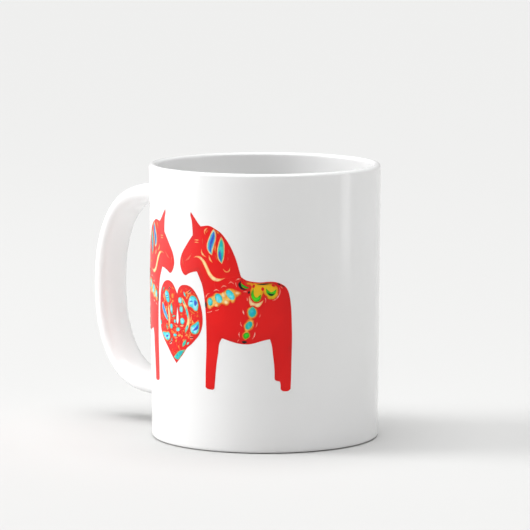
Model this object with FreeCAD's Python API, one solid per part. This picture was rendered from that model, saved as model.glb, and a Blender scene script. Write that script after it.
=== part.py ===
import FreeCAD, Part
import os
from math import copysign, cos, hypot, pi, radians, sin

# A ceramic 11 oz mug with a printed scene: two facing dala horses and a heart between them.
#
# Frame: millimetres, +Z up, origin on the cup's axis at the plane that the foot ring rests on.
# The handle points along -X and the print faces -Y.
#
# The print is drawn flat and then wrapped on the wall. A flat point is (across, height): the
# distance along the wall from the middle of the artwork, positive towards +X, and the height above
# the foot. Every colour is a thin film of its own, and the films are stacked outwards in levels.

Vector = FreeCAD.Vector
FlatPoint = FreeCAD.Base.Vector2d

# Cup
HEIGHT = 96.5
RIM_RADIUS = 40.65
BASE_RADIUS = 39.95
WALL = 2.6
WALL_AT_FLOOR = 3.6
FLOOR_TOP = 6.0
FLOOR_FILLET = 7.0
CORNER_RADIUS = 1.3
FOOT_OUTER_RADIUS = 38.4
FOOT_INNER_RADIUS = 35.0
RECESS_RADIUS = 33.7
RECESS_DEPTH = 1.95

# Glaze
GLAZE = 0.25
GLAZE_START = 0.3
BASE_GLAZE_RADIUS = 36.5
ABOVE_RECESS = 4.0

# Handle
HANDLE_ROOT = 40.3
HANDLE_REACH = 32.7
HANDLE_MIDDLE = 48.3
HANDLE_HALF_HEIGHT = 35.1
HANDLE_POWERS = (3.43, 2.13)
HANDLE_HALF_WIDTH = 7.15
HANDLE_END_FLARE = 1.35
HANDLE_FLARE_POWER = 6
HANDLE_HALF_THICKNESS = 3.55
HANDLE_SECTION_POWER = 2.4
HANDLE_STATIONS = 29
HANDLE_STATION_POWER = 1.715
HANDLE_BURIED_END = 38.3
SECTION_POINTS = 20
SLIP = 0.5

# Print
INK = 0.05
ART_TURN = radians(-8.7)
MIRROR_LINE = -0.2
BEAD_POINTS = 12

HORSE = [
    [(6.65, 82.65), (6.45, 81.8), (6.9, 80.2), (7.25, 77.9), (7.4, 75.8), (7.4, 74.7)],
    [(7.4, 74.7), (5.6, 72.5), (4.0, 70.4), (2.4, 68.1), (1.6, 66.1), (1.4, 64.5), (1.65, 63.2),
     (2.3, 61.8), (3.1, 60.9), (4.1, 60.6), (5.0, 61.05), (6.2, 61.6), (7.6, 62.05), (9.15, 62.3)],
    [(9.15, 62.3), (10.2, 60.2), (11.1, 58.3), (11.7, 56.2), (12.2, 53.3), (12.6, 49.5),
     (12.85, 45.0), (12.95, 40.0), (12.9, 35.0), (12.65, 30.0), (12.5, 25.0), (12.47, 22.5)],
    [(12.47, 22.5), (13.0, 22.0), (14.3, 21.75), (15.6, 21.8), (16.0, 22.2)],
    [(16.0, 22.2), (16.3, 25.2), (16.6, 28.4), (17.0, 31.6), (17.55, 35.0), (18.1, 38.3), (19.0, 39.8)],
    [(19.0, 39.8), (21.5, 39.05), (24.2, 38.35), (27.3, 38.0), (30.0, 38.3), (33.0, 39.2), (35.9, 39.85)],
    [(35.9, 39.85), (36.4, 38.3), (36.9, 34.8), (37.35, 31.1), (37.5, 28.3), (37.5, 26.2)],
    [(37.5, 26.2), (37.9, 25.55), (38.6, 25.35), (39.4, 25.1)],
    [(39.4, 25.1), (39.6, 23.9), (39.6, 22.6)],
    [(39.6, 22.6), (40.1, 22.0), (41.2, 21.75), (42.5, 21.95), (43.15, 22.6)],
    [(43.15, 22.6), (43.3, 26.5), (43.45, 33.0), (43.6, 40.0), (43.5, 46.0), (43.25, 51.0),
     (42.75, 54.6), (42.2, 56.5), (41.3, 57.9), (39.8, 58.9), (37.9, 59.55), (35.6, 59.7),
     (32.6, 59.45), (30.0, 59.65), (27.6, 60.2), (25.95, 61.2)],
    [(25.95, 61.2), (25.3, 63.3), (24.5, 66.1), (23.4, 69.0), (21.9, 72.0), (20.2, 74.5),
     (18.3, 76.4), (16.2, 77.6), (14.2, 78.4), (12.4, 78.25), (10.8, 78.0)],
    [(10.8, 78.0), (9.7, 79.1), (8.6, 80.4), (7.5, 81.7), (6.65, 82.65)],
]
FRONT_LEAF = [
    [(16.05, 77.15), (15.4, 76.1), (14.8, 74.9), (14.1, 73.3), (13.65, 71.7), (13.8, 70.3),
     (14.4, 69.3), (15.2, 68.6)],
    [(15.2, 68.6), (15.4, 69.7), (15.7, 71.2), (16.3, 72.9), (16.65, 74.6), (16.5, 76.2), (16.05, 77.15)],
]
BACK_LEAF = [
    [(18.8, 74.6), (18.35, 73.0), (17.85, 71.3), (17.6, 69.6), (17.75, 67.9), (18.35, 66.6), (18.95, 65.8)],
    [(18.95, 65.8), (19.45, 67.3), (19.75, 69.1), (19.8, 71.0), (19.55, 72.9), (18.8, 74.6)],
]
LEAF_HALO_MARGIN = 0.35

# A stroke is a list of (across, height, width) along its middle line, with a width of 0 at its tips.
LEAF_CORES = [
    [(16.1, 76.6, 0), (16.1, 75.4, 0.75), (15.65, 74.0, 0.9), (15.1, 72.6, 0.95), (14.75, 71.3, 0.85),
     (14.75, 70.2, 0.5), (14.95, 69.4, 0)],
    [(18.5, 70.4, 0), (18.3, 69.2, 0.75), (18.4, 68.0, 0.95), (18.65, 67.0, 0.5), (18.85, 66.4, 0)],
]
BRIDLE_STROKES = [
    [(7.7, 67.05, 0), (9.2, 67.45, 0.4), (10.5, 67.2, 0.85), (11.6, 66.35, 1.1), (12.7, 64.85, 1.25),
     (13.7, 62.9, 1.25), (14.9, 61.1, 1.35), (16.4, 60.05, 1.3), (18.0, 59.95, 0.85), (20.3, 60.75, 0)],
    [(8.1, 73.15, 0), (9.15, 73.2, 0.4), (10.2, 73.15, 0)],
    [(8.2, 72.35, 0), (9.15, 72.4, 0.35), (10.1, 72.35, 0)],
    [(13.6, 77.65, 0), (12.85, 77.0, 0.5), (12.45, 76.1, 0.4), (12.8, 75.2, 0)],
    [(11.2, 70.2, 0), (11.25, 69.1, 0.5), (11.95, 68.15, 0.55), (13.1, 67.5, 0)],
    [(14.2, 68.3, 0), (14.4, 67.2, 0.6), (14.9, 66.4, 0.5), (15.6, 65.8, 0)],
    [(19.5, 63.9, 0), (20.1, 63.1, 0.35), (20.9, 62.8, 0.35), (21.65, 63.2, 0.4), (22.0, 64.4, 0)],
]
FACE_STROKES = [
    [(7.1, 68.6, 0), (6.1, 67.15, 0.5), (4.9, 66.1, 0.55), (3.7, 65.6, 0)],
    [(2.3, 67.3, 0), (2.8, 65.6, 0.45), (3.1, 63.7, 0)],
    [(11.7, 74.1, 0), (11.65, 73.0, 0.4), (11.75, 71.8, 0)],
    [(21.5, 70.7, 0), (21.65, 69.9, 0.45), (21.6, 69.1, 0)],
    [(21.2, 68.0, 0), (21.3, 67.3, 0.35), (21.2, 66.7, 0)],
]
NECK_PATCHES = [
    [(16.95, 76.9, 0), (17.55, 76.3, 0.7), (18.35, 75.5, 0)],
    [(16.85, 72.9, 0), (16.6, 71.6, 0.5), (16.55, 70.4, 0.8), (16.8, 69.2, 0)],
    [(16.5, 68.6, 0), (17.0, 67.6, 0.6), (17.5, 66.5, 0)],
    [(13.85, 77.0, 0), (13.35, 76.5, 0.45), (13.2, 75.8, 0)],
]
# A bead is (across, height, width, height of the bead, tilt in degrees).
HARNESS_BAND = [
    [(13.25, 51.2), (13.5, 50.1), (14.4, 49.6), (15.4, 50.2), (16.4, 50.6), (17.4, 50.3), (18.3, 51.0),
     (19.2, 51.6), (20.3, 51.1), (21.4, 51.6), (22.0, 52.6)],
    [(22.0, 52.6), (23.0, 52.1), (23.9, 52.9), (24.3, 54.2), (25.3, 54.7), (26.2, 55.5)],
    [(26.2, 55.5), (25.4, 56.4), (24.3, 56.7), (23.2, 57.1), (22.0, 57.3), (20.8, 57.0), (19.6, 56.1),
     (18.5, 55.5), (17.2, 55.5), (16.2, 55.1), (15.4, 54.4), (14.6, 54.0), (13.7, 53.6), (13.25, 52.6),
     (13.25, 51.2)],
]
HARNESS_BEADS = [(14.6, 52.2, 1.9, 2.8, 5), (17.8, 53.6, 2.6, 3.4, 30), (22.1, 55.0, 2.4, 4.0, 40)]
HARNESS_LINKS = [(16.9, 51.2, 1.5, 1.1, 0), (19.55, 54.7, 1.2, 2.0, 10), (20.6, 52.4, 1.8, 1.5, 0),
                 (24.6, 55.7, 1.7, 1.0, -10), (14.4, 50.3, 1.1, 0.7, 0)]
GIRTH_BAND = [
    [(29.4, 51.1), (28.3, 50.4), (27.9, 49.1), (28.2, 47.8), (28.7, 46.9)],
    [(28.7, 46.9), (27.6, 46.0), (26.9, 44.8), (26.8, 43.6), (27.2, 42.5)],
    [(27.2, 42.5), (26.4, 41.8), (26.2, 40.7), (26.6, 39.85), (27.2, 39.5)],
    [(27.2, 39.5), (28.3, 39.9), (29.1, 40.8), (29.1, 41.8), (28.6, 42.5)],
    [(28.6, 42.5), (29.7, 43.2), (30.4, 44.5), (30.5, 45.8), (30.1, 46.8)],
    [(30.1, 46.8), (31.1, 47.5), (31.7, 48.8), (31.6, 50.0), (30.8, 50.9), (29.4, 51.1)],
]
GIRTH_TOP_BEAD = [
    [(30.0, 51.2), (29.3, 50.7), (28.6, 50.0), (28.4, 48.9), (28.9, 47.8), (29.8, 47.3)],
    [(29.8, 47.3), (30.7, 47.8), (31.2, 48.9), (31.0, 50.0), (30.5, 50.7), (30.0, 51.2)],
]
GIRTH_BEAD = (28.6, 44.6, 2.2, 3.2, -35)
GIRTH_DROP = [
    [(28.4, 42.1), (27.4, 42.0), (26.7, 41.3), (26.75, 40.5), (27.2, 39.75)],
    [(27.2, 39.75), (27.9, 40.1), (28.6, 40.6), (28.75, 41.4), (28.4, 42.1)],
]
GIRTH_TIP = (27.05, 38.8, 1.8, 0.85, 0)
SADDLE = [
    [(27.4, 59.5), (27.8, 58.8), (28.8, 58.4), (29.6, 57.9)],
    [(29.6, 57.9), (29.25, 56.8), (29.15, 55.5), (29.35, 54.2), (30.1, 53.1), (31.2, 52.6), (32.4, 53.0),
     (33.2, 54.2), (33.75, 56.0)],
    [(33.75, 56.0), (34.4, 54.8), (35.3, 53.9), (36.5, 53.6), (37.9, 54.2), (38.8, 55.7), (38.75, 57.2),
     (38.0, 58.4), (36.9, 59.3)],
    [(36.9, 59.3), (35.6, 59.4), (32.6, 59.15), (30.0, 59.3), (27.4, 59.5)],
]
SADDLE_COLLAR = [
    [(29.2, 51.3), (30.4, 51.35), (31.4, 50.9), (32.3, 51.1), (33.1, 52.0), (33.7, 53.4)],
    [(33.7, 53.4), (32.7, 52.75), (31.3, 52.3), (30.0, 52.75), (29.2, 53.8), (28.75, 54.9)],
    [(28.75, 54.9), (28.6, 53.8), (28.8, 52.4), (29.2, 51.3)],
]
SADDLE_LEAVES = [
    [(30.25, 57.4, 0), (29.95, 55.9, 0.8), (30.15, 54.4, 1.15), (31.2, 53.5, 1.45), (32.3, 54.25, 1.1),
     (32.75, 55.3, 0)],
    [(34.55, 57.5, 0), (35.0, 56.4, 0.9), (36.3, 55.4, 1.4), (37.5, 56.1, 0.95), (38.05, 57.2, 0)],
]
SADDLE_END_LEAF = [(25.95, 59.2, 0), (26.4, 58.35, 0.75), (27.2, 57.85, 0.85), (28.0, 57.6, 0.6),
                   (28.8, 57.55, 0)]
SADDLE_END_SHADE = [(25.85, 59.9, 0), (25.4, 58.8, 0.95), (25.8, 57.7, 0.85), (26.8, 57.05, 0.55),
                    (28.1, 56.95, 0)]
SADDLE_LEAF_SHADE = [(35.1, 56.1, 0), (35.8, 55.4, 0.6), (36.6, 55.2, 0.65), (37.4, 55.8, 0)]
SADDLE_SEAM = [(31.2, 58.75, 0), (33.6, 58.85, 0.45), (36.3, 59.05, 0)]
SADDLE_SPOTS = [(30.3, 58.15, 0.9, 1.3, -20), (33.4, 57.2, 1.0, 1.3, 0), (37.0, 58.4, 1.3, 0.7, -30)]
EDGE_MARKS = [
    [(12.85, 52.4, 0), (12.8, 51.1, 0.62), (12.95, 49.7, 0)],
    [(38.3, 59.15, 0), (39.0, 58.85, 0.5), (39.65, 58.5, 0)],
    [(39.85, 58.5, 0), (40.35, 58.2, 0.35), (40.95, 57.75, 0)],
    [(28.3, 55.5, 0), (28.65, 55.9, 0.7), (28.85, 56.7, 0)],
]
DASHES = [
    [(12.75, 53.5, 0), (13.1, 54.2, 0.25), (13.6, 54.8, 0.3), (14.5, 55.2, 0)],
    [(15.8, 55.8, 0), (16.9, 56.5, 0.45), (18.2, 56.0, 0)],
    [(18.6, 57.1, 0), (19.7, 57.95, 0.45), (20.9, 57.65, 0)],
    [(21.4, 58.7, 0), (22.3, 59.4, 0.45), (23.4, 58.7, 0)],
    [(24.0, 59.9, 0), (24.9, 60.5, 0.35), (25.9, 60.55, 0)],
    [(24.05, 59.5, 0), (24.1, 58.7, 0.3), (24.4, 57.8, 0)],
    [(13.3, 48.4, 0), (14.2, 48.55, 0.4), (15.3, 49.0, 0)],
    [(16.3, 49.2, 0), (17.1, 49.35, 0.4), (18.0, 49.8, 0)],
    [(26.5, 50.1, 0), (26.7, 49.2, 0.4), (27.0, 48.2, 0)],
    [(25.8, 45.8, 0), (25.75, 44.9, 0.4), (26.3, 44.1, 0)],
    [(25.4, 42.4, 0), (25.15, 41.4, 0.4), (25.5, 40.4, 0)],
    [(25.2, 39.7, 0), (24.8, 39.2, 0.3), (24.7, 38.6, 0)],
    [(32.6, 48.6, 0), (32.5, 48.0, 0.35), (32.2, 47.3, 0)],
    [(31.5, 45.8, 0), (31.4, 44.9, 0.4), (30.9, 43.9, 0)],
    [(30.75, 42.5, 0), (30.55, 41.1, 0.4), (29.75, 39.8, 0)],
    [(39.1, 57.9, 0), (39.4, 56.5, 0.35), (38.95, 54.9, 0.35), (38.0, 53.75, 0.35), (36.6, 53.05, 0)],
    [(34.15, 54.3, 0), (34.45, 53.4, 0.3), (34.2, 52.3, 0)],
    [(26.6, 56.1, 0), (27.3, 56.25, 0.35), (28.0, 56.1, 0)],
    [(39.4, 58.1, 0), (39.8, 57.8, 0.3), (40.3, 57.3, 0)],
    [(27.95, 54.3, 0), (28.1, 53.6, 0.3), (28.05, 52.9, 0)],
]

HEART = [
    [(-1.0, 29.5), (0.9, 31.35), (2.9, 33.5), (4.3, 35.2), (6.2, 36.6), (8.1, 38.3), (9.9, 40.3),
     (11.1, 42.9), (11.45, 45.8), (11.1, 48.8), (10.1, 52.1), (8.6, 54.7), (6.9, 56.4), (5.2, 57.1),
     (3.5, 57.2), (1.8, 56.8), (0.6, 55.8), (-0.3, 53.7)],
    [(-0.3, 53.7), (-1.1, 55.0), (-2.1, 56.4), (-3.4, 57.5), (-5.0, 57.95), (-6.8, 57.75),
     (-8.6, 56.8), (-10.0, 55.2), (-10.95, 53.2), (-11.4, 50.4), (-11.6, 46.8), (-11.4, 43.3),
     (-10.6, 40.0), (-9.0, 37.5), (-7.0, 35.5), (-4.9, 33.4), (-2.9, 31.3), (-1.0, 29.5)],
]
HEART_SLIT = [
    [(-0.25, 49.3), (0.1, 47.2), (0.35, 45.2), (0.2, 43.8), (-0.25, 43.2)],
    [(-0.25, 43.2), (-0.7, 43.8), (-0.85, 45.2), (-0.6, 47.2), (-0.25, 49.3)],
]
HEART_FLOWERS = [
    [[(7.0, 53.8), (6.1, 53.2), (5.5, 52.0), (5.3, 50.7), (5.6, 49.9)],
     [(5.6, 49.9), (6.5, 49.8), (7.3, 49.4), (8.2, 48.7), (9.2, 48.7)],
     [(9.2, 48.7), (9.6, 50.0), (9.55, 51.5), (8.95, 52.9), (8.1, 53.6), (7.0, 53.8)]],
    [[(9.8, 45.1), (9.0, 44.7), (8.0, 44.0), (6.9, 43.4), (6.25, 42.4), (6.4, 41.3), (7.3, 40.6),
      (8.4, 40.5)],
     [(8.4, 40.5), (9.4, 41.1), (9.95, 42.4), (10.05, 43.8), (9.8, 45.1)]],
    [[(-6.7, 54.3), (-7.5, 53.6), (-7.5, 52.4), (-6.9, 51.3), (-6.1, 50.4), (-5.2, 50.2)],
     [(-5.2, 50.2), (-4.7, 50.9), (-4.75, 52.1), (-5.2, 53.4), (-5.9, 54.1), (-6.7, 54.3)]],
    [[(-9.7, 39.3), (-9.0, 38.4), (-8.1, 37.7), (-7.0, 37.1), (-5.6, 37.0), (-4.7, 37.7), (-4.6, 39.2)],
     [(-4.6, 39.2), (-5.6, 39.8), (-7.2, 39.6), (-8.6, 39.6), (-9.7, 39.3)]],
]
HEART_FLOWER_MARGIN = 0.35
HEART_CORES = [
    [(5.9, 51.5, 0), (6.7, 51.8, 0.5), (7.5, 51.75, 0)],
    [(8.3, 52.5, 0), (8.6, 51.4, 1.4), (8.4, 50.2, 0)],
    [(9.65, 44.3, 0), (9.3, 43.1, 0.9), (8.4, 42.2, 0.8), (7.2, 41.6, 0)],
    [(-7.2, 52.7, 0), (-6.5, 52.5, 0.45), (-5.5, 52.75, 0)],
    [(-6.7, 51.9, 0), (-6.1, 51.75, 0.35), (-5.3, 51.95, 0)],
    [(-7.2, 38.2, 0), (-6.3, 38.4, 0.8), (-5.4, 38.75, 0)],
]
HEART_SCROLL = [
    [(2.1, 53.0, 0), (3.0, 51.2, 1.2), (4.0, 49.5, 1.2), (4.85, 47.6, 1.1), (5.3, 45.6, 1.2),
     (5.1, 43.8, 1.3), (4.35, 42.0, 1.3), (3.6, 40.2, 0)],
    [(-5.6, 49.6, 0), (-5.35, 48.2, 0.9), (-4.95, 46.3, 1.1), (-4.8, 44.2, 1.0), (-5.0, 42.6, 0.8),
     (-4.7, 41.0, 0)],
    [(0.9, 42.95, 0), (2.0, 42.75, 0.6), (3.1, 43.1, 0)],
    [(0.7, 50.1, 0), (1.5, 50.0, 0.45), (2.6, 50.3, 0)],
    [(-7.2, 50.6, 0), (-7.9, 51.0, 0.5), (-8.0, 51.9, 0)],
    [(-1.5, 42.9, 0), (-0.8, 42.5, 0.5), (0.1, 42.5, 0)],
    [(-2.3, 38.3, 0), (-1.2, 38.25, 0.45), (-0.1, 38.6, 0)],
    [(5.9, 44.4, 0), (6.4, 45.4, 0.6), (6.6, 46.8, 0)],
    [(-8.9, 51.4, 0), (-8.5, 52.1, 0.5), (-8.1, 53.0, 0)],
]
HEART_SCROLL_LEAVES = [
    [(3.9, 49.9, 0), (4.5, 48.4, 0.75), (4.95, 46.8, 0.65), (5.15, 45.4, 0)],
    [(5.1, 43.5, 0), (4.55, 42.3, 0.9), (4.0, 41.3, 0.6), (3.65, 40.5, 0)],
    [(2.5, 52.1, 0), (3.05, 51.1, 0.55), (3.6, 50.2, 0)],
]
HEART_BEADS = [(1.25, 51.6, 1.9, 2.2, 0), (1.8, 48.6, 1.8, 2.2, 0), (2.25, 44.45, 2.1, 2.3, 0),
               (0.1, 41.4, 2.0, 1.4, 15), (-1.65, 44.1, 1.1, 1.3, 0), (-3.7, 42.1, 1.6, 1.8, 10),
               (-1.6, 39.2, 1.9, 1.1, 0), (-10.75, 42.7, 0.8, 1.7, 0)]
HEART_STEMS = [
    [(3.1, 54.9, 0), (3.5, 53.9, 0.7), (4.2, 53.0, 0)],
    [(-8.9, 53.7, 0), (-8.7, 54.6, 0.6), (-7.9, 55.4, 0)],
    [(-6.9, 42.6, 0), (-6.4, 41.6, 0.7), (-6.5, 40.6, 0)],
    [(-3.2, 38.3, 0), (-3.6, 37.3, 0.6), (-3.2, 36.9, 0)],
    [(5.6, 37.6, 0), (5.0, 37.0, 0.6), (4.4, 36.4, 0)],
    [(-3.7, 50.4, 0), (-3.6, 48.7, 1.3), (-3.4, 47.1, 1.1), (-2.9, 46.2, 0)],
    [(-3.3, 45.5, 0), (-2.3, 45.8, 0.6), (-1.3, 46.1, 0)],
]
HEART_LEAF = [(-9.3, 50.1, 0), (-9.1, 48.7, 1.5), (-8.3, 47.2, 1.7), (-7.3, 45.8, 1.7), (-6.4, 44.7, 1.2),
              (-5.75, 43.8, 0)]
HEART_TIP_BAND = [
    [(-2.5, 31.5), (-1.4, 31.0), (-0.2, 30.8), (0.6, 31.3), (1.7, 32.5), (2.8, 33.8), (3.6, 34.7)],
    [(3.6, 34.7), (2.3, 34.4), (0.9, 34.0), (-0.3, 33.3), (-1.3, 32.4), (-2.5, 31.5)],
]
HEART_TIP_LEAF = [(4.1, 38.3, 0), (3.5, 37.2, 1.1), (2.7, 36.2, 0.9), (2.4, 35.5, 0)]
HEART_PATCHES = [
    [(-2.5, 53.6, 0), (-2.2, 52.5, 0.6), (-2.4, 51.3, 0)],
    [(-2.0, 49.4, 0), (-1.8, 48.3, 0.6), (-2.0, 47.2, 0)],
    [(1.0, 47.0, 0), (1.9, 46.6, 0.6), (2.9, 46.9, 0)],
    [(8.9, 47.6, 0), (9.8, 47.0, 0.5), (10.3, 46.1, 0)],
    [(-8.6, 42.9, 0), (-7.9, 42.0, 0.6), (-7.7, 40.9, 0)],
    [(1.6, 41.3, 0), (2.2, 40.5, 0.6), (2.4, 39.5, 0)],
    [(-3.3, 44.7, 0), (-2.9, 43.9, 0.4), (-2.8, 43.2, 0)],
    [(5.6, 40.7, 0), (5.2, 39.9, 0.5), (4.6, 39.3, 0)],
    [(-1.6, 55.1, 0), (-2.4, 55.4, 0.4), (-3.2, 55.9, 0)],
    [(-3.9, 53.6, 0), (-3.7, 52.5, 0.5), (-3.9, 51.4, 0)],
    [(6.0, 48.5, 0), (7.1, 47.9, 0.7), (8.3, 47.5, 0)],
    [(-4.2, 40.4, 0), (-3.5, 40.5, 0.9), (-2.8, 40.2, 0)],
    [(-2.6, 41.4, 0), (-2.0, 41.1, 0.7), (-1.5, 40.5, 0)],
    [(-0.1, 36.6, 0), (0.7, 37.1, 0.5), (1.5, 37.9, 0)],
    [(7.3, 54.9, 0), (8.1, 54.45, 0.4), (9.0, 53.6, 0)],
    [(-2.7, 32.2, 0), (-1.4, 32.95, 0.35), (-0.2, 33.8, 0.35), (1.2, 34.5, 0)],
    [(-9.9, 45.9, 0), (-9.3, 44.7, 0.6), (-8.5, 43.7, 0)],
]
# A hatch is parallel dashes, white and dark in turn: (across, height, direction, dash length, how many).
HEART_HATCHES = [(-4.85, 55.1, -38, 1.2, 5), (5.8, 55.0, 36, 1.9, 3), (6.6, 39.2, -3, 1.8, 3),
                 (-4.2, 36.4, 33, 1.5, 3)]
HATCH_PITCH = 0.36
HATCH_WIDTH = 0.28


def signed_power(value, power):
    return copysign(abs(value) ** power, value)


def wall_radius(height):
    """The glazed outer wall's radius at a height."""
    return BASE_RADIUS + (RIM_RADIUS - BASE_RADIUS) * height / HEIGHT


def inside_radius(height):
    """The glazed inner wall's radius at a height. The wall thickens towards the floor."""
    return wall_radius(height) - WALL_AT_FLOOR + (WALL_AT_FLOOR - WALL) * height / HEIGHT


def arc(centre, radius, start, end):
    """An arc in the XZ plane about centre, from one angle to another, in degrees."""
    points = []
    for angle in (start, (start + end) / 2, end):
        turn = radians(angle)
        points.append(Vector(centre[0] + radius * cos(turn), 0, centre[1] + radius * sin(turn)))
    return Part.Arc(*points).toShape()


def joined(edges):
    """The edges in order, with straight lines across the gaps between them and back to the start."""
    chain = []
    for index, edge in enumerate(edges):
        following = edges[(index + 1) % len(edges)]
        end = edge.valueAt(edge.LastParameter)
        start = following.valueAt(following.FirstParameter)
        chain.append(edge)
        if end.distanceToPoint(start) > 1e-6:
            chain.append(Part.makeLine(end, start))
    return Part.Wire(chain)


def line(*points):
    ends = [Vector(radius, 0, height) for radius, height in points]
    return Part.makeLine(*ends)


def cup_solid(skin):
    """The cup, with every glazed surface set in by skin. Nothing is set in at the foot ring's face."""
    corner = (BASE_RADIUS - CORNER_RADIUS, CORNER_RADIUS)
    lip = (RIM_RADIUS - WALL / 2, HEIGHT - WALL / 2)
    fillet_height = FLOOR_TOP + FLOOR_FILLET
    fillet = (inside_radius(fillet_height) - FLOOR_FILLET, fillet_height)
    outline = joined([
        line((FOOT_INNER_RADIUS, 0), (FOOT_OUTER_RADIUS, 0)),
        arc(corner, CORNER_RADIUS - skin, -90, 0),
        arc(lip, WALL / 2 - skin, 0, 180),
        arc(fillet, FLOOR_FILLET + skin, 0, -90),
        line((0, FLOOR_TOP - skin), (0, RECESS_DEPTH + skin)),
        line((0, RECESS_DEPTH + skin), (RECESS_RADIUS + skin, RECESS_DEPTH + skin)),
    ])
    return Part.Face(outline).revolve(Vector(0, 0, 0), Vector(0, 0, 1), 360)


def glaze_coats():
    """The coat between the glazed and the bare surfaces, as its outer, inner and base faces."""
    bare_strip = Part.makeCylinder(RIM_RADIUS, GLAZE_START)
    coat = cup_solid(0).cut(cup_solid(GLAZE)).cut(bare_strip)
    inside = Part.makeCylinder(RIM_RADIUS - WALL / 2, HEIGHT, Vector(0, 0, ABOVE_RECESS))
    beneath = Part.makeCylinder(BASE_GLAZE_RADIUS, ABOVE_RECESS)
    outer = coat.cut(inside).cut(beneath).Solids[0].cut(handle_loop(0))
    return outer, coat.common(inside), coat.common(beneath)


def handle_point(turn):
    """A point on the handle's middle line, as (distance from the cup's axis, height)."""
    across, up = (2 / power for power in HANDLE_POWERS)
    reach = HANDLE_ROOT + HANDLE_REACH * abs(cos(turn)) ** across
    return reach, HANDLE_MIDDLE + HANDLE_HALF_HEIGHT * signed_power(sin(turn), up)


def handle_section(reach, height, slope, turn, skin):
    """A rounded section across the middle line, whose direction is slope, a unit (outward, up)."""
    flare = HANDLE_END_FLARE * abs(sin(turn)) ** HANDLE_FLARE_POWER
    half_width = HANDLE_HALF_WIDTH + flare - skin
    half_thickness = HANDLE_HALF_THICKNESS - skin
    points = []
    for index in range(SECTION_POINTS):
        angle = 2 * pi * index / SECTION_POINTS
        side = half_width * signed_power(cos(angle), 2 / HANDLE_SECTION_POWER)
        out = half_thickness * signed_power(sin(angle), 2 / HANDLE_SECTION_POWER)
        points.append(Vector(-(reach + out * slope[1]), side, height - out * slope[0]))
    curve = Part.BSplineCurve()
    curve.interpolate(Points=points, PeriodicFlag=True)
    return Part.Wire(curve.toShape())


def handle_loop(skin):
    """The whole loop, set in by skin, with both ends carried on into the wall."""
    small = 1e-4
    sections = [handle_section(HANDLE_BURIED_END, handle_point(-pi / 2)[1], (1, 0), pi / 2, skin)]
    for index in range(HANDLE_STATIONS):
        place = 2 * index / (HANDLE_STATIONS - 1) - 1
        turn = copysign(pi / 2 * (1 - (1 - abs(place)) ** HANDLE_STATION_POWER), place)
        before = handle_point(max(turn - small, -pi / 2))
        after = handle_point(min(turn + small, pi / 2))
        run = hypot(after[0] - before[0], after[1] - before[1])
        slope = ((after[0] - before[0]) / run, (after[1] - before[1]) / run)
        sections.append(handle_section(*handle_point(turn), slope, turn, skin))
    sections.append(handle_section(HANDLE_BURIED_END, handle_point(pi / 2)[1], (-1, 0), pi / 2, skin))
    return Part.makeLoft(sections, True, False)


def wall_plug(beyond):
    """A solid that fills the cup out to a distance beyond its bare outer wall."""
    grown = beyond - GLAZE
    return Part.makeCone(BASE_RADIUS + grown, RIM_RADIUS + grown, HEIGHT)


def handle_pieces():
    """The bare handle, its glaze, and the two pads of slip that join it to the wall."""
    bare = handle_loop(GLAZE)
    glaze = handle_loop(0).cut(bare).cut(wall_plug(0))
    pads = bare.common(wall_plug(SLIP)).cut(wall_plug(0)).Solids
    lower, upper = sorted(pads, key=lambda pad: pad.CenterOfMass.z)
    return bare.cut(wall_plug(SLIP)), glaze, lower, upper


def ink_surface(level):
    """The wall's cone, grown outwards by a number of ink films, with its seam behind the print."""
    grown = level * INK
    cone = Part.Cone(Vector(0, 0, 0), Vector(0, 0, HEIGHT), BASE_RADIUS + grown, RIM_RADIUS + grown)
    cone.rotate(FreeCAD.Placement(Vector(), FreeCAD.Rotation(Vector(0, 0, 1), 180)))
    return cone


def wrapped(run, surface):
    """An edge on the surface through a run of flat points."""
    slant = hypot(HEIGHT, RIM_RADIUS - BASE_RADIUS) / HEIGHT
    points = [FlatPoint(pi + ART_TURN + across / RIM_RADIUS, height * slant) for across, height in run]
    travelled = [0.0]
    for last, point in zip(run, run[1:]):
        travelled.append(travelled[-1] + hypot(point[0] - last[0], point[1] - last[1]))
    curve = Part.Geom2d.BSplineCurve2d()
    curve.interpolate(Points=points, Parameters=travelled)
    return curve.toShape(surface)


def film(outline, level, hole=None):
    """A solid film of ink inside an outline, which is a closed list of smooth runs."""
    inner, outer = ink_surface(level), ink_surface(level + 1)
    skins = []
    rims = []
    loops = [outline] + ([hole] if hole else [])
    pairs = [[[wrapped(run, surface) for run in loop] for surface in (inner, outer)] for loop in loops]
    for surface, side in ((inner, 0), (outer, 1)):
        skin = Part.Face(surface, Part.Wire(pairs[0][side]))
        for pair in pairs[1:]:
            skin = Part.Face(skin, Part.Wire(pair[side]))
        skins.append(skin)
    for low_edges, high_edges in pairs:
        rims += [Part.makeRuledSurface(low, high) for low, high in zip(low_edges, high_edges)]
    shell = Part.makeShell(skins + rims)
    shell.sewShape()
    solid = Part.makeSolid(shell)
    if solid.Volume < 0:
        solid.reverse()
    return solid


def stroke(points):
    """The outline of a brush stroke: one side along it and the other side back."""
    left, right = [], []
    for index, (across, height, width) in enumerate(points):
        before = points[max(index - 1, 0)]
        after = points[min(index + 1, len(points) - 1)]
        run = hypot(after[0] - before[0], after[1] - before[1])
        shift_across = -(after[1] - before[1]) / run * width / 2
        shift_up = (after[0] - before[0]) / run * width / 2
        left.append((across + shift_across, height + shift_up))
        right.append((across - shift_across, height - shift_up))
    return [right, left[::-1]]


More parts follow.
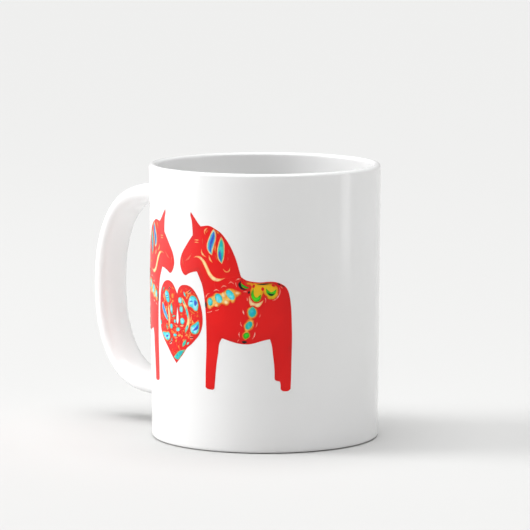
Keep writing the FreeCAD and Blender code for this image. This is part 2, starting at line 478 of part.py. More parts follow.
def bead(across, height, width, tall, tilt):
    """The outline of an oval dab, turned anticlockwise by tilt."""
    turn = radians(tilt)
    points = []
    for index in range(BEAD_POINTS + 1):
        angle = 2 * pi * index / BEAD_POINTS
        x, y = width / 2 * cos(angle), tall / 2 * sin(angle)
        points.append((across + x * cos(turn) - y * sin(turn), height + x * sin(turn) + y * cos(turn)))
    half = BEAD_POINTS // 2
    return [points[:half + 1], points[half:]]


def grown_outline(outline, margin):
    """An anticlockwise outline moved outwards by margin."""
    loop = [point for run in outline for point in run[:-1]]
    moved = []
    for index, (across, height) in enumerate(loop):
        before = loop[index - 1]
        after = loop[(index + 1) % len(loop)]
        run = hypot(after[0] - before[0], after[1] - before[1])
        moved.append((across + (after[1] - before[1]) / run * margin,
                      height - (after[0] - before[0]) / run * margin))
    runs = []
    start = 0
    for run in outline:
        indices = range(start, start + len(run))
        runs.append([moved[index % len(moved)] for index in indices])
        start += len(run) - 1
    return runs


def mirrored(outline):
    """The outline on the left horse, run the other way round so that it stays anticlockwise."""
    return [[(2 * MIRROR_LINE - across, height) for across, height in reversed(run)]
            for run in reversed(outline)]


def hatch(across, height, direction, length, count):
    """The six-sided outlines of a hatch's dashes, from its upper side to its lower side."""
    turn = radians(direction)
    tip, shoulder, half = length / 2, length / 4, HATCH_WIDTH / 2
    corners = [(tip, 0), (shoulder, half), (-shoulder, half),
               (-tip, 0), (-shoulder, -half), (shoulder, -half)]
    dashes = []
    for index in range(count):
        drop = (index - (count - 1) / 2) * HATCH_PITCH
        loop = []
        for x, y in corners:
            loop.append((across + x * cos(turn) - (y - drop) * sin(turn),
                         height + x * sin(turn) + (y - drop) * cos(turn)))
        dashes.append([[loop[side - 1], loop[side]] for side in range(len(loop))])
    return dashes


def strokes(lines):
    return [stroke(points) for points in lines]


def beads(dabs):
    return [bead(*dab) for dab in dabs]


def horse_layers():
    """Each colour of the right horse: its name, its level and its outlines. A name may come twice."""
    leaf_halos = [grown_outline(leaf, LEAF_HALO_MARGIN) for leaf in (FRONT_LEAF, BACK_LEAF)]
    return [
        ("horse_silhouette", 0, [HORSE]),
        ("mane_halo", 1, leaf_halos),
        ("bridle_strokes", 1, strokes(BRIDLE_STROKES)),
        ("face_strokes", 1, strokes(FACE_STROKES)),
        ("neck_patches", 1, strokes(NECK_PATCHES)),
        ("harness_band", 1, [HARNESS_BAND]),
        ("girth_band", 1, [GIRTH_BAND]),
        ("saddle_collar", 1, [SADDLE_COLLAR]),
        ("white_dashes", 1, strokes(DASHES)),
        ("saddle", 1, [SADDLE]),
        ("green_leaves", 1, [stroke(SADDLE_END_LEAF)]),
        ("green_leaves", 2, strokes(SADDLE_LEAVES) + [GIRTH_DROP]),
        ("dark_strokes", 1, strokes(EDGE_MARKS + [SADDLE_END_SHADE]) + [bead(*GIRTH_TIP)]),
        ("dark_strokes", 2, [stroke(SADDLE_SEAM)]),
        ("dark_strokes", 3, [stroke(SADDLE_LEAF_SHADE)]),
        ("harness_links", 2, beads(HARNESS_LINKS)),
        ("front_mane_leaf", 2, [FRONT_LEAF]),
        ("back_mane_leaf", 2, [BACK_LEAF]),
        ("harness_beads", 2, beads(HARNESS_BEADS)),
        ("girth_beads", 2, [GIRTH_TOP_BEAD, bead(*GIRTH_BEAD)]),
        ("saddle_spots", 2, beads(SADDLE_SPOTS)),
        ("mane_cores", 3, strokes(LEAF_CORES)),
    ]


def heart_layers():
    """Each colour of the heart, above its red silhouette."""
    hatches = [hatch(*place) for place in HEART_HATCHES]
    white_dashes = [dash for dashes in hatches for dash in dashes[0::2]]
    dark_dashes = [dash for dashes in hatches for dash in dashes[1::2]]
    return [
        ("heart_flower_halos", 1, [grown_outline(flower, HEART_FLOWER_MARGIN) for flower in HEART_FLOWERS]),
        ("heart_scroll", 1, strokes(HEART_SCROLL)),
        ("heart_beads", 1, beads(HEART_BEADS) + strokes(HEART_STEMS)),
        ("heart_leaf", 1, [stroke(HEART_LEAF)]),
        ("heart_tip_band", 1, [HEART_TIP_BAND, stroke(HEART_TIP_LEAF)]),
        ("heart_patches", 1, strokes(HEART_PATCHES)),
        ("heart_white_dashes", 1, white_dashes),
        ("heart_dark_dashes", 1, dark_dashes),
        ("heart_flowers", 2, HEART_FLOWERS),
        ("heart_scroll_leaves", 2, strokes(HEART_SCROLL_LEAVES)),
        ("heart_flower_cores", 3, strokes(HEART_CORES)),
    ]


def print_nodes():
    """The whole print, as the films of each colour."""
    nodes = {"heart_silhouette": [film(HEART, 0, HEART_SLIT)]}
    for name, level, outlines in horse_layers():
        nodes.setdefault("right_" + name, []).extend(film(outline, level) for outline in outlines)
        nodes.setdefault("left_" + name, []).extend(film(mirrored(outline), level) for outline in outlines)
    for name, level, outlines in heart_layers():
        nodes[name] = [film(outline, level) for outline in outlines]
    return nodes


def clay_nodes():
    """The clay pieces and their glaze."""
    outer, inner, beneath = glaze_coats()
    handle, handle_glaze, lower_slip, upper_slip = handle_pieces()
    return {
        "cup_body": cup_solid(GLAZE),
        "handle": handle,
        "lower_slip_joint": lower_slip,
        "upper_slip_joint": upper_slip,
        "outer_glaze": outer,
        "inner_glaze": inner,
        "base_glaze": beneath,
        "handle_glaze": handle_glaze,
    }


def write_parts():
    os.makedirs("parts", exist_ok=True)
    for name, shape in clay_nodes().items():
        shape.exportStep("parts/" + name + ".step")
    for name, films in print_nodes().items():
        shape = films[0] if len(films) == 1 else Part.makeCompound(films)
        shape.exportStep("parts/" + name + ".step")


write_parts()
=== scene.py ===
from math import asin, ceil, copysign, cos, degrees, hypot, pi, radians, sin, sqrt

import bpy
import numpy as np
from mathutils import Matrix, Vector
from mathutils.geometry import delaunay_2d_cdt


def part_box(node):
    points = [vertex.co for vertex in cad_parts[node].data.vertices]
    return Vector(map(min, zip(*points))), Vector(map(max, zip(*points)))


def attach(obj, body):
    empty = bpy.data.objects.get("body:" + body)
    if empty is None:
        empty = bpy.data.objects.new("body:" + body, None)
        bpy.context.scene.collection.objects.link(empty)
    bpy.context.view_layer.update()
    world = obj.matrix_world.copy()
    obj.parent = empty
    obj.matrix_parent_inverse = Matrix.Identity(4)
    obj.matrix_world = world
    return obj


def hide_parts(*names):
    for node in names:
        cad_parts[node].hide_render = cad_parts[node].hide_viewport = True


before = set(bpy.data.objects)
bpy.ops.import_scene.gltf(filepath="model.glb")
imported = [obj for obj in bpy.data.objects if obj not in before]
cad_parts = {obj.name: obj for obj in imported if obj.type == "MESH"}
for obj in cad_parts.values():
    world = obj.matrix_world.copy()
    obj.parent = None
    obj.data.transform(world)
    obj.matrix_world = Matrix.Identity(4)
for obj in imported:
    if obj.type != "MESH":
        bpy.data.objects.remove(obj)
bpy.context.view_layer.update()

MM = 0.001

# Cup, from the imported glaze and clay
RIM_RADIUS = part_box("outer_glaze")[1].x / MM
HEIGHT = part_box("outer_glaze")[1].z / MM
TAPER = 0.7
BASE_RADIUS = RIM_RADIUS - TAPER
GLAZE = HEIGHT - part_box("cup_body")[1].z / MM
WALL = 2.6
WALL_AT_FLOOR = 3.6
FLOOR_TOP = 6.0
FLOOR_FILLET = 7.0
CORNER_RADIUS = 1.3
FOOT_OUTER_RADIUS = 38.4
FOOT_INNER_RADIUS = 35.0
RECESS_RADIUS = 33.7
RECESS_DEPTH = 1.95
GLAZE_START = 0.3
COAT_DEPTH = GLAZE * 0.9
FOOT_INNER_ROUNDING = 0.5
FOOT_OUTER_ROUNDING = 0.15
RECESS_CORNER = 1.0
ROUND_SEGMENTS = 256
CORNER_STEPS = 12
WALL_STEPS = 24
FILLET_STEPS = 20
ON_AXIS = 1e-6

# Handle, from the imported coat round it
HANDLE_ROOT = 40.3
HANDLE_HALF_THICKNESS = 3.55
HANDLE_REACH = -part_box("handle_glaze")[0].x / MM - HANDLE_ROOT - HANDLE_HALF_THICKNESS
HANDLE_MIDDLE = 48.3
HANDLE_HALF_HEIGHT = 35.1
HANDLE_POWERS = (3.43, 2.13)
HANDLE_HALF_WIDTH = 7.15
HANDLE_END_FLARE = 1.35
HANDLE_FLARE_POWER = 6
HANDLE_SECTION_POWER = 2.4
HANDLE_STATION_POWER = 1.715
HANDLE_STATIONS = 121
SECTION_POINTS = 64
ROOT_FILLET = 1.6
FILLET_RINGS = 8
ROOT_BURIAL = 0.4
ROOT_CLEARANCE = 0.6
SLOPE_STEP = 1e-4

# Print
INK = 0.05
ART_TURN = radians(-8.7)
MIRROR_LINE = -0.2
BEAD_POINTS = 12
SILHOUETTE_DETAIL = 0.4
DAB_DETAIL = 0.15
GRID_PITCH = 2.5
EDGE_CLEARANCE = 0.45
MERGE_DISTANCE = 1e-7

HORSE = [
    [(6.65, 82.65), (6.45, 81.8), (6.9, 80.2), (7.25, 77.9), (7.4, 75.8), (7.4, 74.7)],
    [(7.4, 74.7), (5.6, 72.5), (4.0, 70.4), (2.4, 68.1), (1.6, 66.1), (1.4, 64.5), (1.65, 63.2),
     (2.3, 61.8), (3.1, 60.9), (4.1, 60.6), (5.0, 61.05), (6.2, 61.6), (7.6, 62.05), (9.15, 62.3)],
    [(9.15, 62.3), (10.2, 60.2), (11.1, 58.3), (11.7, 56.2), (12.2, 53.3), (12.6, 49.5),
     (12.85, 45.0), (12.95, 40.0), (12.9, 35.0), (12.65, 30.0), (12.5, 25.0), (12.47, 22.5)],
    [(12.47, 22.5), (13.0, 22.0), (14.3, 21.75), (15.6, 21.8), (16.0, 22.2)],
    [(16.0, 22.2), (16.3, 25.2), (16.6, 28.4), (17.0, 31.6), (17.55, 35.0), (18.1, 38.3), (19.0, 39.8)],
    [(19.0, 39.8), (21.5, 39.05), (24.2, 38.35), (27.3, 38.0), (30.0, 38.3), (33.0, 39.2), (35.9, 39.85)],
    [(35.9, 39.85), (36.4, 38.3), (36.9, 34.8), (37.35, 31.1), (37.5, 28.3), (37.5, 26.2)],
    [(37.5, 26.2), (37.9, 25.55), (38.6, 25.35), (39.4, 25.1)],
    [(39.4, 25.1), (39.6, 23.9), (39.6, 22.6)],
    [(39.6, 22.6), (40.1, 22.0), (41.2, 21.75), (42.5, 21.95), (43.15, 22.6)],
    [(43.15, 22.6), (43.3, 26.5), (43.45, 33.0), (43.6, 40.0), (43.5, 46.0), (43.25, 51.0),
     (42.75, 54.6), (42.2, 56.5), (41.3, 57.9), (39.8, 58.9), (37.9, 59.55), (35.6, 59.7),
     (32.6, 59.45), (30.0, 59.65), (27.6, 60.2), (25.95, 61.2)],
    [(25.95, 61.2), (25.3, 63.3), (24.5, 66.1), (23.4, 69.0), (21.9, 72.0), (20.2, 74.5),
     (18.3, 76.4), (16.2, 77.6), (14.2, 78.4), (12.4, 78.25), (10.8, 78.0)],
    [(10.8, 78.0), (9.7, 79.1), (8.6, 80.4), (7.5, 81.7), (6.65, 82.65)],
]
FRONT_LEAF = [
    [(16.05, 77.15), (15.4, 76.1), (14.8, 74.9), (14.1, 73.3), (13.65, 71.7), (13.8, 70.3),
     (14.4, 69.3), (15.2, 68.6)],
    [(15.2, 68.6), (15.4, 69.7), (15.7, 71.2), (16.3, 72.9), (16.65, 74.6), (16.5, 76.2), (16.05, 77.15)],
]
BACK_LEAF = [
    [(18.8, 74.6), (18.35, 73.0), (17.85, 71.3), (17.6, 69.6), (17.75, 67.9), (18.35, 66.6),
     (18.95, 65.8)],
    [(18.95, 65.8), (19.45, 67.3), (19.75, 69.1), (19.8, 71.0), (19.55, 72.9), (18.8, 74.6)],
]
LEAF_HALO_MARGIN = 0.35

# A stroke is a list of (across, height, width) along its middle line, with a width of 0 at its tips.
LEAF_CORES = [
    [(16.1, 76.6, 0), (16.1, 75.4, 0.75), (15.65, 74.0, 0.9), (15.1, 72.6, 0.95), (14.75, 71.3, 0.85),
     (14.75, 70.2, 0.5), (14.95, 69.4, 0)],
    [(18.5, 70.4, 0), (18.3, 69.2, 0.75), (18.4, 68.0, 0.95), (18.65, 67.0, 0.5), (18.85, 66.4, 0)],
]
BRIDLE_STROKES = [
    [(7.7, 67.05, 0), (9.2, 67.45, 0.4), (10.5, 67.2, 0.85), (11.6, 66.35, 1.1), (12.7, 64.85, 1.25),
     (13.7, 62.9, 1.25), (14.9, 61.1, 1.35), (16.4, 60.05, 1.3), (18.0, 59.95, 0.85), (20.3, 60.75, 0)],
    [(8.1, 73.15, 0), (9.15, 73.2, 0.4), (10.2, 73.15, 0)],
    [(8.2, 72.35, 0), (9.15, 72.4, 0.35), (10.1, 72.35, 0)],
    [(13.6, 77.65, 0), (12.85, 77.0, 0.5), (12.45, 76.1, 0.4), (12.8, 75.2, 0)],
    [(11.2, 70.2, 0), (11.25, 69.1, 0.5), (11.95, 68.15, 0.55), (13.1, 67.5, 0)],
    [(14.2, 68.3, 0), (14.4, 67.2, 0.6), (14.9, 66.4, 0.5), (15.6, 65.8, 0)],
    [(19.5, 63.9, 0), (20.1, 63.1, 0.35), (20.9, 62.8, 0.35), (21.65, 63.2, 0.4), (22.0, 64.4, 0)],
]
FACE_STROKES = [
    [(7.1, 68.6, 0), (6.1, 67.15, 0.5), (4.9, 66.1, 0.55), (3.7, 65.6, 0)],
    [(2.3, 67.3, 0), (2.8, 65.6, 0.45), (3.1, 63.7, 0)],
    [(11.7, 74.1, 0), (11.65, 73.0, 0.4), (11.75, 71.8, 0)],
    [(21.5, 70.7, 0), (21.65, 69.9, 0.45), (21.6, 69.1, 0)],
    [(21.2, 68.0, 0), (21.3, 67.3, 0.35), (21.2, 66.7, 0)],
]
NECK_PATCHES = [
    [(16.95, 76.9, 0), (17.55, 76.3, 0.7), (18.35, 75.5, 0)],
    [(16.85, 72.9, 0), (16.6, 71.6, 0.5), (16.55, 70.4, 0.8), (16.8, 69.2, 0)],
    [(16.5, 68.6, 0), (17.0, 67.6, 0.6), (17.5, 66.5, 0)],
    [(13.85, 77.0, 0), (13.35, 76.5, 0.45), (13.2, 75.8, 0)],
]
# A bead is (across, height, width, height of the bead, tilt in degrees).
HARNESS_BAND = [
    [(13.25, 51.2), (13.5, 50.1), (14.4, 49.6), (15.4, 50.2), (16.4, 50.6), (17.4, 50.3), (18.3, 51.0),
     (19.2, 51.6), (20.3, 51.1), (21.4, 51.6), (22.0, 52.6)],
    [(22.0, 52.6), (23.0, 52.1), (23.9, 52.9), (24.3, 54.2), (25.3, 54.7), (26.2, 55.5)],
    [(26.2, 55.5), (25.4, 56.4), (24.3, 56.7), (23.2, 57.1), (22.0, 57.3), (20.8, 57.0), (19.6, 56.1),
     (18.5, 55.5), (17.2, 55.5), (16.2, 55.1), (15.4, 54.4), (14.6, 54.0), (13.7, 53.6), (13.25, 52.6),
     (13.25, 51.2)],
]
HARNESS_BEADS = [(14.6, 52.2, 1.9, 2.8, 5), (17.8, 53.6, 2.6, 3.4, 30), (22.1, 55.0, 2.4, 4.0, 40)]
HARNESS_LINKS = [(16.9, 51.2, 1.5, 1.1, 0), (19.55, 54.7, 1.2, 2.0, 10), (20.6, 52.4, 1.8, 1.5, 0),
                 (24.6, 55.7, 1.7, 1.0, -10), (14.4, 50.3, 1.1, 0.7, 0)]
GIRTH_BAND = [
    [(29.4, 51.1), (28.3, 50.4), (27.9, 49.1), (28.2, 47.8), (28.7, 46.9)],
    [(28.7, 46.9), (27.6, 46.0), (26.9, 44.8), (26.8, 43.6), (27.2, 42.5)],
    [(27.2, 42.5), (26.4, 41.8), (26.2, 40.7), (26.6, 39.85), (27.2, 39.5)],
    [(27.2, 39.5), (28.3, 39.9), (29.1, 40.8), (29.1, 41.8), (28.6, 42.5)],
    [(28.6, 42.5), (29.7, 43.2), (30.4, 44.5), (30.5, 45.8), (30.1, 46.8)],
    [(30.1, 46.8), (31.1, 47.5), (31.7, 48.8), (31.6, 50.0), (30.8, 50.9), (29.4, 51.1)],
]
GIRTH_TOP_BEAD = [
    [(30.0, 51.2), (29.3, 50.7), (28.6, 50.0), (28.4, 48.9), (28.9, 47.8), (29.8, 47.3)],
    [(29.8, 47.3), (30.7, 47.8), (31.2, 48.9), (31.0, 50.0), (30.5, 50.7), (30.0, 51.2)],
]
GIRTH_BEAD = (28.6, 44.6, 2.2, 3.2, -35)
GIRTH_DROP = [
    [(28.4, 42.1), (27.4, 42.0), (26.7, 41.3), (26.75, 40.5), (27.2, 39.75)],
    [(27.2, 39.75), (27.9, 40.1), (28.6, 40.6), (28.75, 41.4), (28.4, 42.1)],
]
GIRTH_TIP = (27.05, 38.8, 1.8, 0.85, 0)
SADDLE = [
    [(27.4, 59.5), (27.8, 58.8), (28.8, 58.4), (29.6, 57.9)],
    [(29.6, 57.9), (29.25, 56.8), (29.15, 55.5), (29.35, 54.2), (30.1, 53.1), (31.2, 52.6), (32.4, 53.0),
     (33.2, 54.2), (33.75, 56.0)],
    [(33.75, 56.0), (34.4, 54.8), (35.3, 53.9), (36.5, 53.6), (37.9, 54.2), (38.8, 55.7), (38.75, 57.2),
     (38.0, 58.4), (36.9, 59.3)],
    [(36.9, 59.3), (35.6, 59.4), (32.6, 59.15), (30.0, 59.3), (27.4, 59.5)],
]
SADDLE_COLLAR = [
    [(29.2, 51.3), (30.4, 51.35), (31.4, 50.9), (32.3, 51.1), (33.1, 52.0), (33.7, 53.4)],
    [(33.7, 53.4), (32.7, 52.75), (31.3, 52.3), (30.0, 52.75), (29.2, 53.8), (28.75, 54.9)],
    [(28.75, 54.9), (28.6, 53.8), (28.8, 52.4), (29.2, 51.3)],
]
SADDLE_LEAVES = [
    [(30.25, 57.4, 0), (29.95, 55.9, 0.8), (30.15, 54.4, 1.15), (31.2, 53.5, 1.45), (32.3, 54.25, 1.1),
     (32.75, 55.3, 0)],
    [(34.55, 57.5, 0), (35.0, 56.4, 0.9), (36.3, 55.4, 1.4), (37.5, 56.1, 0.95), (38.05, 57.2, 0)],
]
SADDLE_END_LEAF = [(25.95, 59.2, 0), (26.4, 58.35, 0.75), (27.2, 57.85, 0.85), (28.0, 57.6, 0.6),
                   (28.8, 57.55, 0)]
SADDLE_END_SHADE = [(25.85, 59.9, 0), (25.4, 58.8, 0.95), (25.8, 57.7, 0.85), (26.8, 57.05, 0.55),
                    (28.1, 56.95, 0)]
SADDLE_LEAF_SHADE = [(35.1, 56.1, 0), (35.8, 55.4, 0.6), (36.6, 55.2, 0.65), (37.4, 55.8, 0)]
SADDLE_SEAM = [(31.2, 58.75, 0), (33.6, 58.85, 0.45), (36.3, 59.05, 0)]
SADDLE_SPOTS = [(30.3, 58.15, 0.9, 1.3, -20), (33.4, 57.2, 1.0, 1.3, 0), (37.0, 58.4, 1.3, 0.7, -30)]
EDGE_MARKS = [
    [(12.85, 52.4, 0), (12.8, 51.1, 0.62), (12.95, 49.7, 0)],
    [(38.3, 59.15, 0), (39.0, 58.85, 0.5), (39.65, 58.5, 0)],
    [(39.85, 58.5, 0), (40.35, 58.2, 0.35), (40.95, 57.75, 0)],
    [(28.3, 55.5, 0), (28.65, 55.9, 0.7), (28.85, 56.7, 0)],
]
DASHES = [
    [(12.75, 53.5, 0), (13.1, 54.2, 0.25), (13.6, 54.8, 0.3), (14.5, 55.2, 0)],
    [(15.8, 55.8, 0), (16.9, 56.5, 0.45), (18.2, 56.0, 0)],
    [(18.6, 57.1, 0), (19.7, 57.95, 0.45), (20.9, 57.65, 0)],
    [(21.4, 58.7, 0), (22.3, 59.4, 0.45), (23.4, 58.7, 0)],
    [(24.0, 59.9, 0), (24.9, 60.5, 0.35), (25.9, 60.55, 0)],
    [(24.05, 59.5, 0), (24.1, 58.7, 0.3), (24.4, 57.8, 0)],
    [(13.3, 48.4, 0), (14.2, 48.55, 0.4), (15.3, 49.0, 0)],
    [(16.3, 49.2, 0), (17.1, 49.35, 0.4), (18.0, 49.8, 0)],
    [(26.5, 50.1, 0), (26.7, 49.2, 0.4), (27.0, 48.2, 0)],
    [(25.8, 45.8, 0), (25.75, 44.9, 0.4), (26.3, 44.1, 0)],
    [(25.4, 42.4, 0), (25.15, 41.4, 0.4), (25.5, 40.4, 0)],
    [(25.2, 39.7, 0), (24.8, 39.2, 0.3), (24.7, 38.6, 0)],
    [(32.6, 48.6, 0), (32.5, 48.0, 0.35), (32.2, 47.3, 0)],
    [(31.5, 45.8, 0), (31.4, 44.9, 0.4), (30.9, 43.9, 0)],
    [(30.75, 42.5, 0), (30.55, 41.1, 0.4), (29.75, 39.8, 0)],
    [(39.1, 57.9, 0), (39.4, 56.5, 0.35), (38.95, 54.9, 0.35), (38.0, 53.75, 0.35), (36.6, 53.05, 0)],
    [(34.15, 54.3, 0), (34.45, 53.4, 0.3), (34.2, 52.3, 0)],
    [(26.6, 56.1, 0), (27.3, 56.25, 0.35), (28.0, 56.1, 0)],
    [(39.4, 58.1, 0), (39.8, 57.8, 0.3), (40.3, 57.3, 0)],
    [(27.95, 54.3, 0), (28.1, 53.6, 0.3), (28.05, 52.9, 0)],
]

HEART = [
    [(-1.0, 29.5), (0.9, 31.35), (2.9, 33.5), (4.3, 35.2), (6.2, 36.6), (8.1, 38.3), (9.9, 40.3),
     (11.1, 42.9), (11.45, 45.8), (11.1, 48.8), (10.1, 52.1), (8.6, 54.7), (6.9, 56.4), (5.2, 57.1),
     (3.5, 57.2), (1.8, 56.8), (0.6, 55.8), (-0.3, 53.7)],
    [(-0.3, 53.7), (-1.1, 55.0), (-2.1, 56.4), (-3.4, 57.5), (-5.0, 57.95), (-6.8, 57.75),
     (-8.6, 56.8), (-10.0, 55.2), (-10.95, 53.2), (-11.4, 50.4), (-11.6, 46.8), (-11.4, 43.3),
     (-10.6, 40.0), (-9.0, 37.5), (-7.0, 35.5), (-4.9, 33.4), (-2.9, 31.3), (-1.0, 29.5)],
]
HEART_SLIT = [
    [(-0.25, 49.3), (0.1, 47.2), (0.35, 45.2), (0.2, 43.8), (-0.25, 43.2)],
    [(-0.25, 43.2), (-0.7, 43.8), (-0.85, 45.2), (-0.6, 47.2), (-0.25, 49.3)],
]
HEART_FLOWERS = [
    [[(7.0, 53.8), (6.1, 53.2), (5.5, 52.0), (5.3, 50.7), (5.6, 49.9)],
     [(5.6, 49.9), (6.5, 49.8), (7.3, 49.4), (8.2, 48.7), (9.2, 48.7)],
     [(9.2, 48.7), (9.6, 50.0), (9.55, 51.5), (8.95, 52.9), (8.1, 53.6), (7.0, 53.8)]],
    [[(9.8, 45.1), (9.0, 44.7), (8.0, 44.0), (6.9, 43.4), (6.25, 42.4), (6.4, 41.3), (7.3, 40.6),
      (8.4, 40.5)],
     [(8.4, 40.5), (9.4, 41.1), (9.95, 42.4), (10.05, 43.8), (9.8, 45.1)]],
    [[(-6.7, 54.3), (-7.5, 53.6), (-7.5, 52.4), (-6.9, 51.3), (-6.1, 50.4), (-5.2, 50.2)],
     [(-5.2, 50.2), (-4.7, 50.9), (-4.75, 52.1), (-5.2, 53.4), (-5.9, 54.1), (-6.7, 54.3)]],
    [[(-9.7, 39.3), (-9.0, 38.4), (-8.1, 37.7), (-7.0, 37.1), (-5.6, 37.0), (-4.7, 37.7), (-4.6, 39.2)],
     [(-4.6, 39.2), (-5.6, 39.8), (-7.2, 39.6), (-8.6, 39.6), (-9.7, 39.3)]],
]
HEART_FLOWER_MARGIN = 0.35
HEART_CORES = [
    [(5.9, 51.5, 0), (6.7, 51.8, 0.5), (7.5, 51.75, 0)],
    [(8.3, 52.5, 0), (8.6, 51.4, 1.4), (8.4, 50.2, 0)],
    [(9.65, 44.3, 0), (9.3, 43.1, 0.9), (8.4, 42.2, 0.8), (7.2, 41.6, 0)],
    [(-7.2, 52.7, 0), (-6.5, 52.5, 0.45), (-5.5, 52.75, 0)],
    [(-6.7, 51.9, 0), (-6.1, 51.75, 0.35), (-5.3, 51.95, 0)],
    [(-7.2, 38.2, 0), (-6.3, 38.4, 0.8), (-5.4, 38.75, 0)],
]
HEART_SCROLL = [
    [(2.1, 53.0, 0), (3.0, 51.2, 1.2), (4.0, 49.5, 1.2), (4.85, 47.6, 1.1), (5.3, 45.6, 1.2),
     (5.1, 43.8, 1.3), (4.35, 42.0, 1.3), (3.6, 40.2, 0)],
    [(-5.6, 49.6, 0), (-5.35, 48.2, 0.9), (-4.95, 46.3, 1.1), (-4.8, 44.2, 1.0), (-5.0, 42.6, 0.8),
     (-4.7, 41.0, 0)],
    [(0.9, 42.95, 0), (2.0, 42.75, 0.6), (3.1, 43.1, 0)],
    [(0.7, 50.1, 0), (1.5, 50.0, 0.45), (2.6, 50.3, 0)],
    [(-7.2, 50.6, 0), (-7.9, 51.0, 0.5), (-8.0, 51.9, 0)],
    [(-1.5, 42.9, 0), (-0.8, 42.5, 0.5), (0.1, 42.5, 0)],
    [(-2.3, 38.3, 0), (-1.2, 38.25, 0.45), (-0.1, 38.6, 0)],
    [(5.9, 44.4, 0), (6.4, 45.4, 0.6), (6.6, 46.8, 0)],
    [(-8.9, 51.4, 0), (-8.5, 52.1, 0.5), (-8.1, 53.0, 0)],
]
HEART_SCROLL_LEAVES = [
    [(3.9, 49.9, 0), (4.5, 48.4, 0.75), (4.95, 46.8, 0.65), (5.15, 45.4, 0)],
    [(5.1, 43.5, 0), (4.55, 42.3, 0.9), (4.0, 41.3, 0.6), (3.65, 40.5, 0)],
    [(2.5, 52.1, 0), (3.05, 51.1, 0.55), (3.6, 50.2, 0)],
]
HEART_BEADS = [(1.25, 51.6, 1.9, 2.2, 0), (1.8, 48.6, 1.8, 2.2, 0), (2.25, 44.45, 2.1, 2.3, 0),
               (0.1, 41.4, 2.0, 1.4, 15), (-1.65, 44.1, 1.1, 1.3, 0), (-3.7, 42.1, 1.6, 1.8, 10),
               (-1.6, 39.2, 1.9, 1.1, 0), (-10.75, 42.7, 0.8, 1.7, 0)]
HEART_STEMS = [
    [(3.1, 54.9, 0), (3.5, 53.9, 0.7), (4.2, 53.0, 0)],
    [(-8.9, 53.7, 0), (-8.7, 54.6, 0.6), (-7.9, 55.4, 0)],
    [(-6.9, 42.6, 0), (-6.4, 41.6, 0.7), (-6.5, 40.6, 0)],
    [(-3.2, 38.3, 0), (-3.6, 37.3, 0.6), (-3.2, 36.9, 0)],
    [(5.6, 37.6, 0), (5.0, 37.0, 0.6), (4.4, 36.4, 0)],
    [(-3.7, 50.4, 0), (-3.6, 48.7, 1.3), (-3.4, 47.1, 1.1), (-2.9, 46.2, 0)],
    [(-3.3, 45.5, 0), (-2.3, 45.8, 0.6), (-1.3, 46.1, 0)],
]
HEART_LEAF = [(-9.3, 50.1, 0), (-9.1, 48.7, 1.5), (-8.3, 47.2, 1.7), (-7.3, 45.8, 1.7), (-6.4, 44.7, 1.2),
              (-5.75, 43.8, 0)]
HEART_TIP_BAND = [
    [(-2.5, 31.5), (-1.4, 31.0), (-0.2, 30.8), (0.6, 31.3), (1.7, 32.5), (2.8, 33.8), (3.6, 34.7)],
    [(3.6, 34.7), (2.3, 34.4), (0.9, 34.0), (-0.3, 33.3), (-1.3, 32.4), (-2.5, 31.5)],
]
HEART_TIP_LEAF = [(4.1, 38.3, 0), (3.5, 37.2, 1.1), (2.7, 36.2, 0.9), (2.4, 35.5, 0)]
HEART_PATCHES = [
    [(-2.5, 53.6, 0), (-2.2, 52.5, 0.6), (-2.4, 51.3, 0)],
    [(-2.0, 49.4, 0), (-1.8, 48.3, 0.6), (-2.0, 47.2, 0)],
    [(1.0, 47.0, 0), (1.9, 46.6, 0.6), (2.9, 46.9, 0)],
    [(8.9, 47.6, 0), (9.8, 47.0, 0.5), (10.3, 46.1, 0)],
    [(-8.6, 42.9, 0), (-7.9, 42.0, 0.6), (-7.7, 40.9, 0)],
    [(1.6, 41.3, 0), (2.2, 40.5, 0.6), (2.4, 39.5, 0)],
    [(-3.3, 44.7, 0), (-2.9, 43.9, 0.4), (-2.8, 43.2, 0)],
    [(5.6, 40.7, 0), (5.2, 39.9, 0.5), (4.6, 39.3, 0)],
    [(-1.6, 55.1, 0), (-2.4, 55.4, 0.4), (-3.2, 55.9, 0)],
    [(-3.9, 53.6, 0), (-3.7, 52.5, 0.5), (-3.9, 51.4, 0)],
    [(6.0, 48.5, 0), (7.1, 47.9, 0.7), (8.3, 47.5, 0)],
    [(-4.2, 40.4, 0), (-3.5, 40.5, 0.9), (-2.8, 40.2, 0)],
    [(-2.6, 41.4, 0), (-2.0, 41.1, 0.7), (-1.5, 40.5, 0)],
    [(-0.1, 36.6, 0), (0.7, 37.1, 0.5), (1.5, 37.9, 0)],
    [(7.3, 54.9, 0), (8.1, 54.45, 0.4), (9.0, 53.6, 0)],
    [(-2.7, 32.2, 0), (-1.4, 32.95, 0.35), (-0.2, 33.8, 0.35), (1.2, 34.5, 0)],
    [(-9.9, 45.9, 0), (-9.3, 44.7, 0.6), (-8.5, 43.7, 0)],
]
# A hatch is parallel dashes, white and dark in turn: (across, height, direction, dash length, how many).
HEART_HATCHES = [(-4.85, 55.1, -38, 1.2, 5), (5.8, 55.0, 36, 1.9, 3), (6.6, 39.2, -3, 1.8, 3),
                 (-4.2, 36.4, 33, 1.5, 3)]
HATCH_PITCH = 0.36
HATCH_WIDTH = 0.28


# ---------------------------------------------------------------- pieces from outlines and profiles

def wall_radius(height):
    return BASE_RADIUS + TAPER * height / HEIGHT


def inside_radius(height):
    return wall_radius(height) - WALL_AT_FLOOR + (WALL_AT_FLOOR - WALL) * height / HEIGHT


def signed_power(value, power):
    return copysign(abs(value) ** power, value)


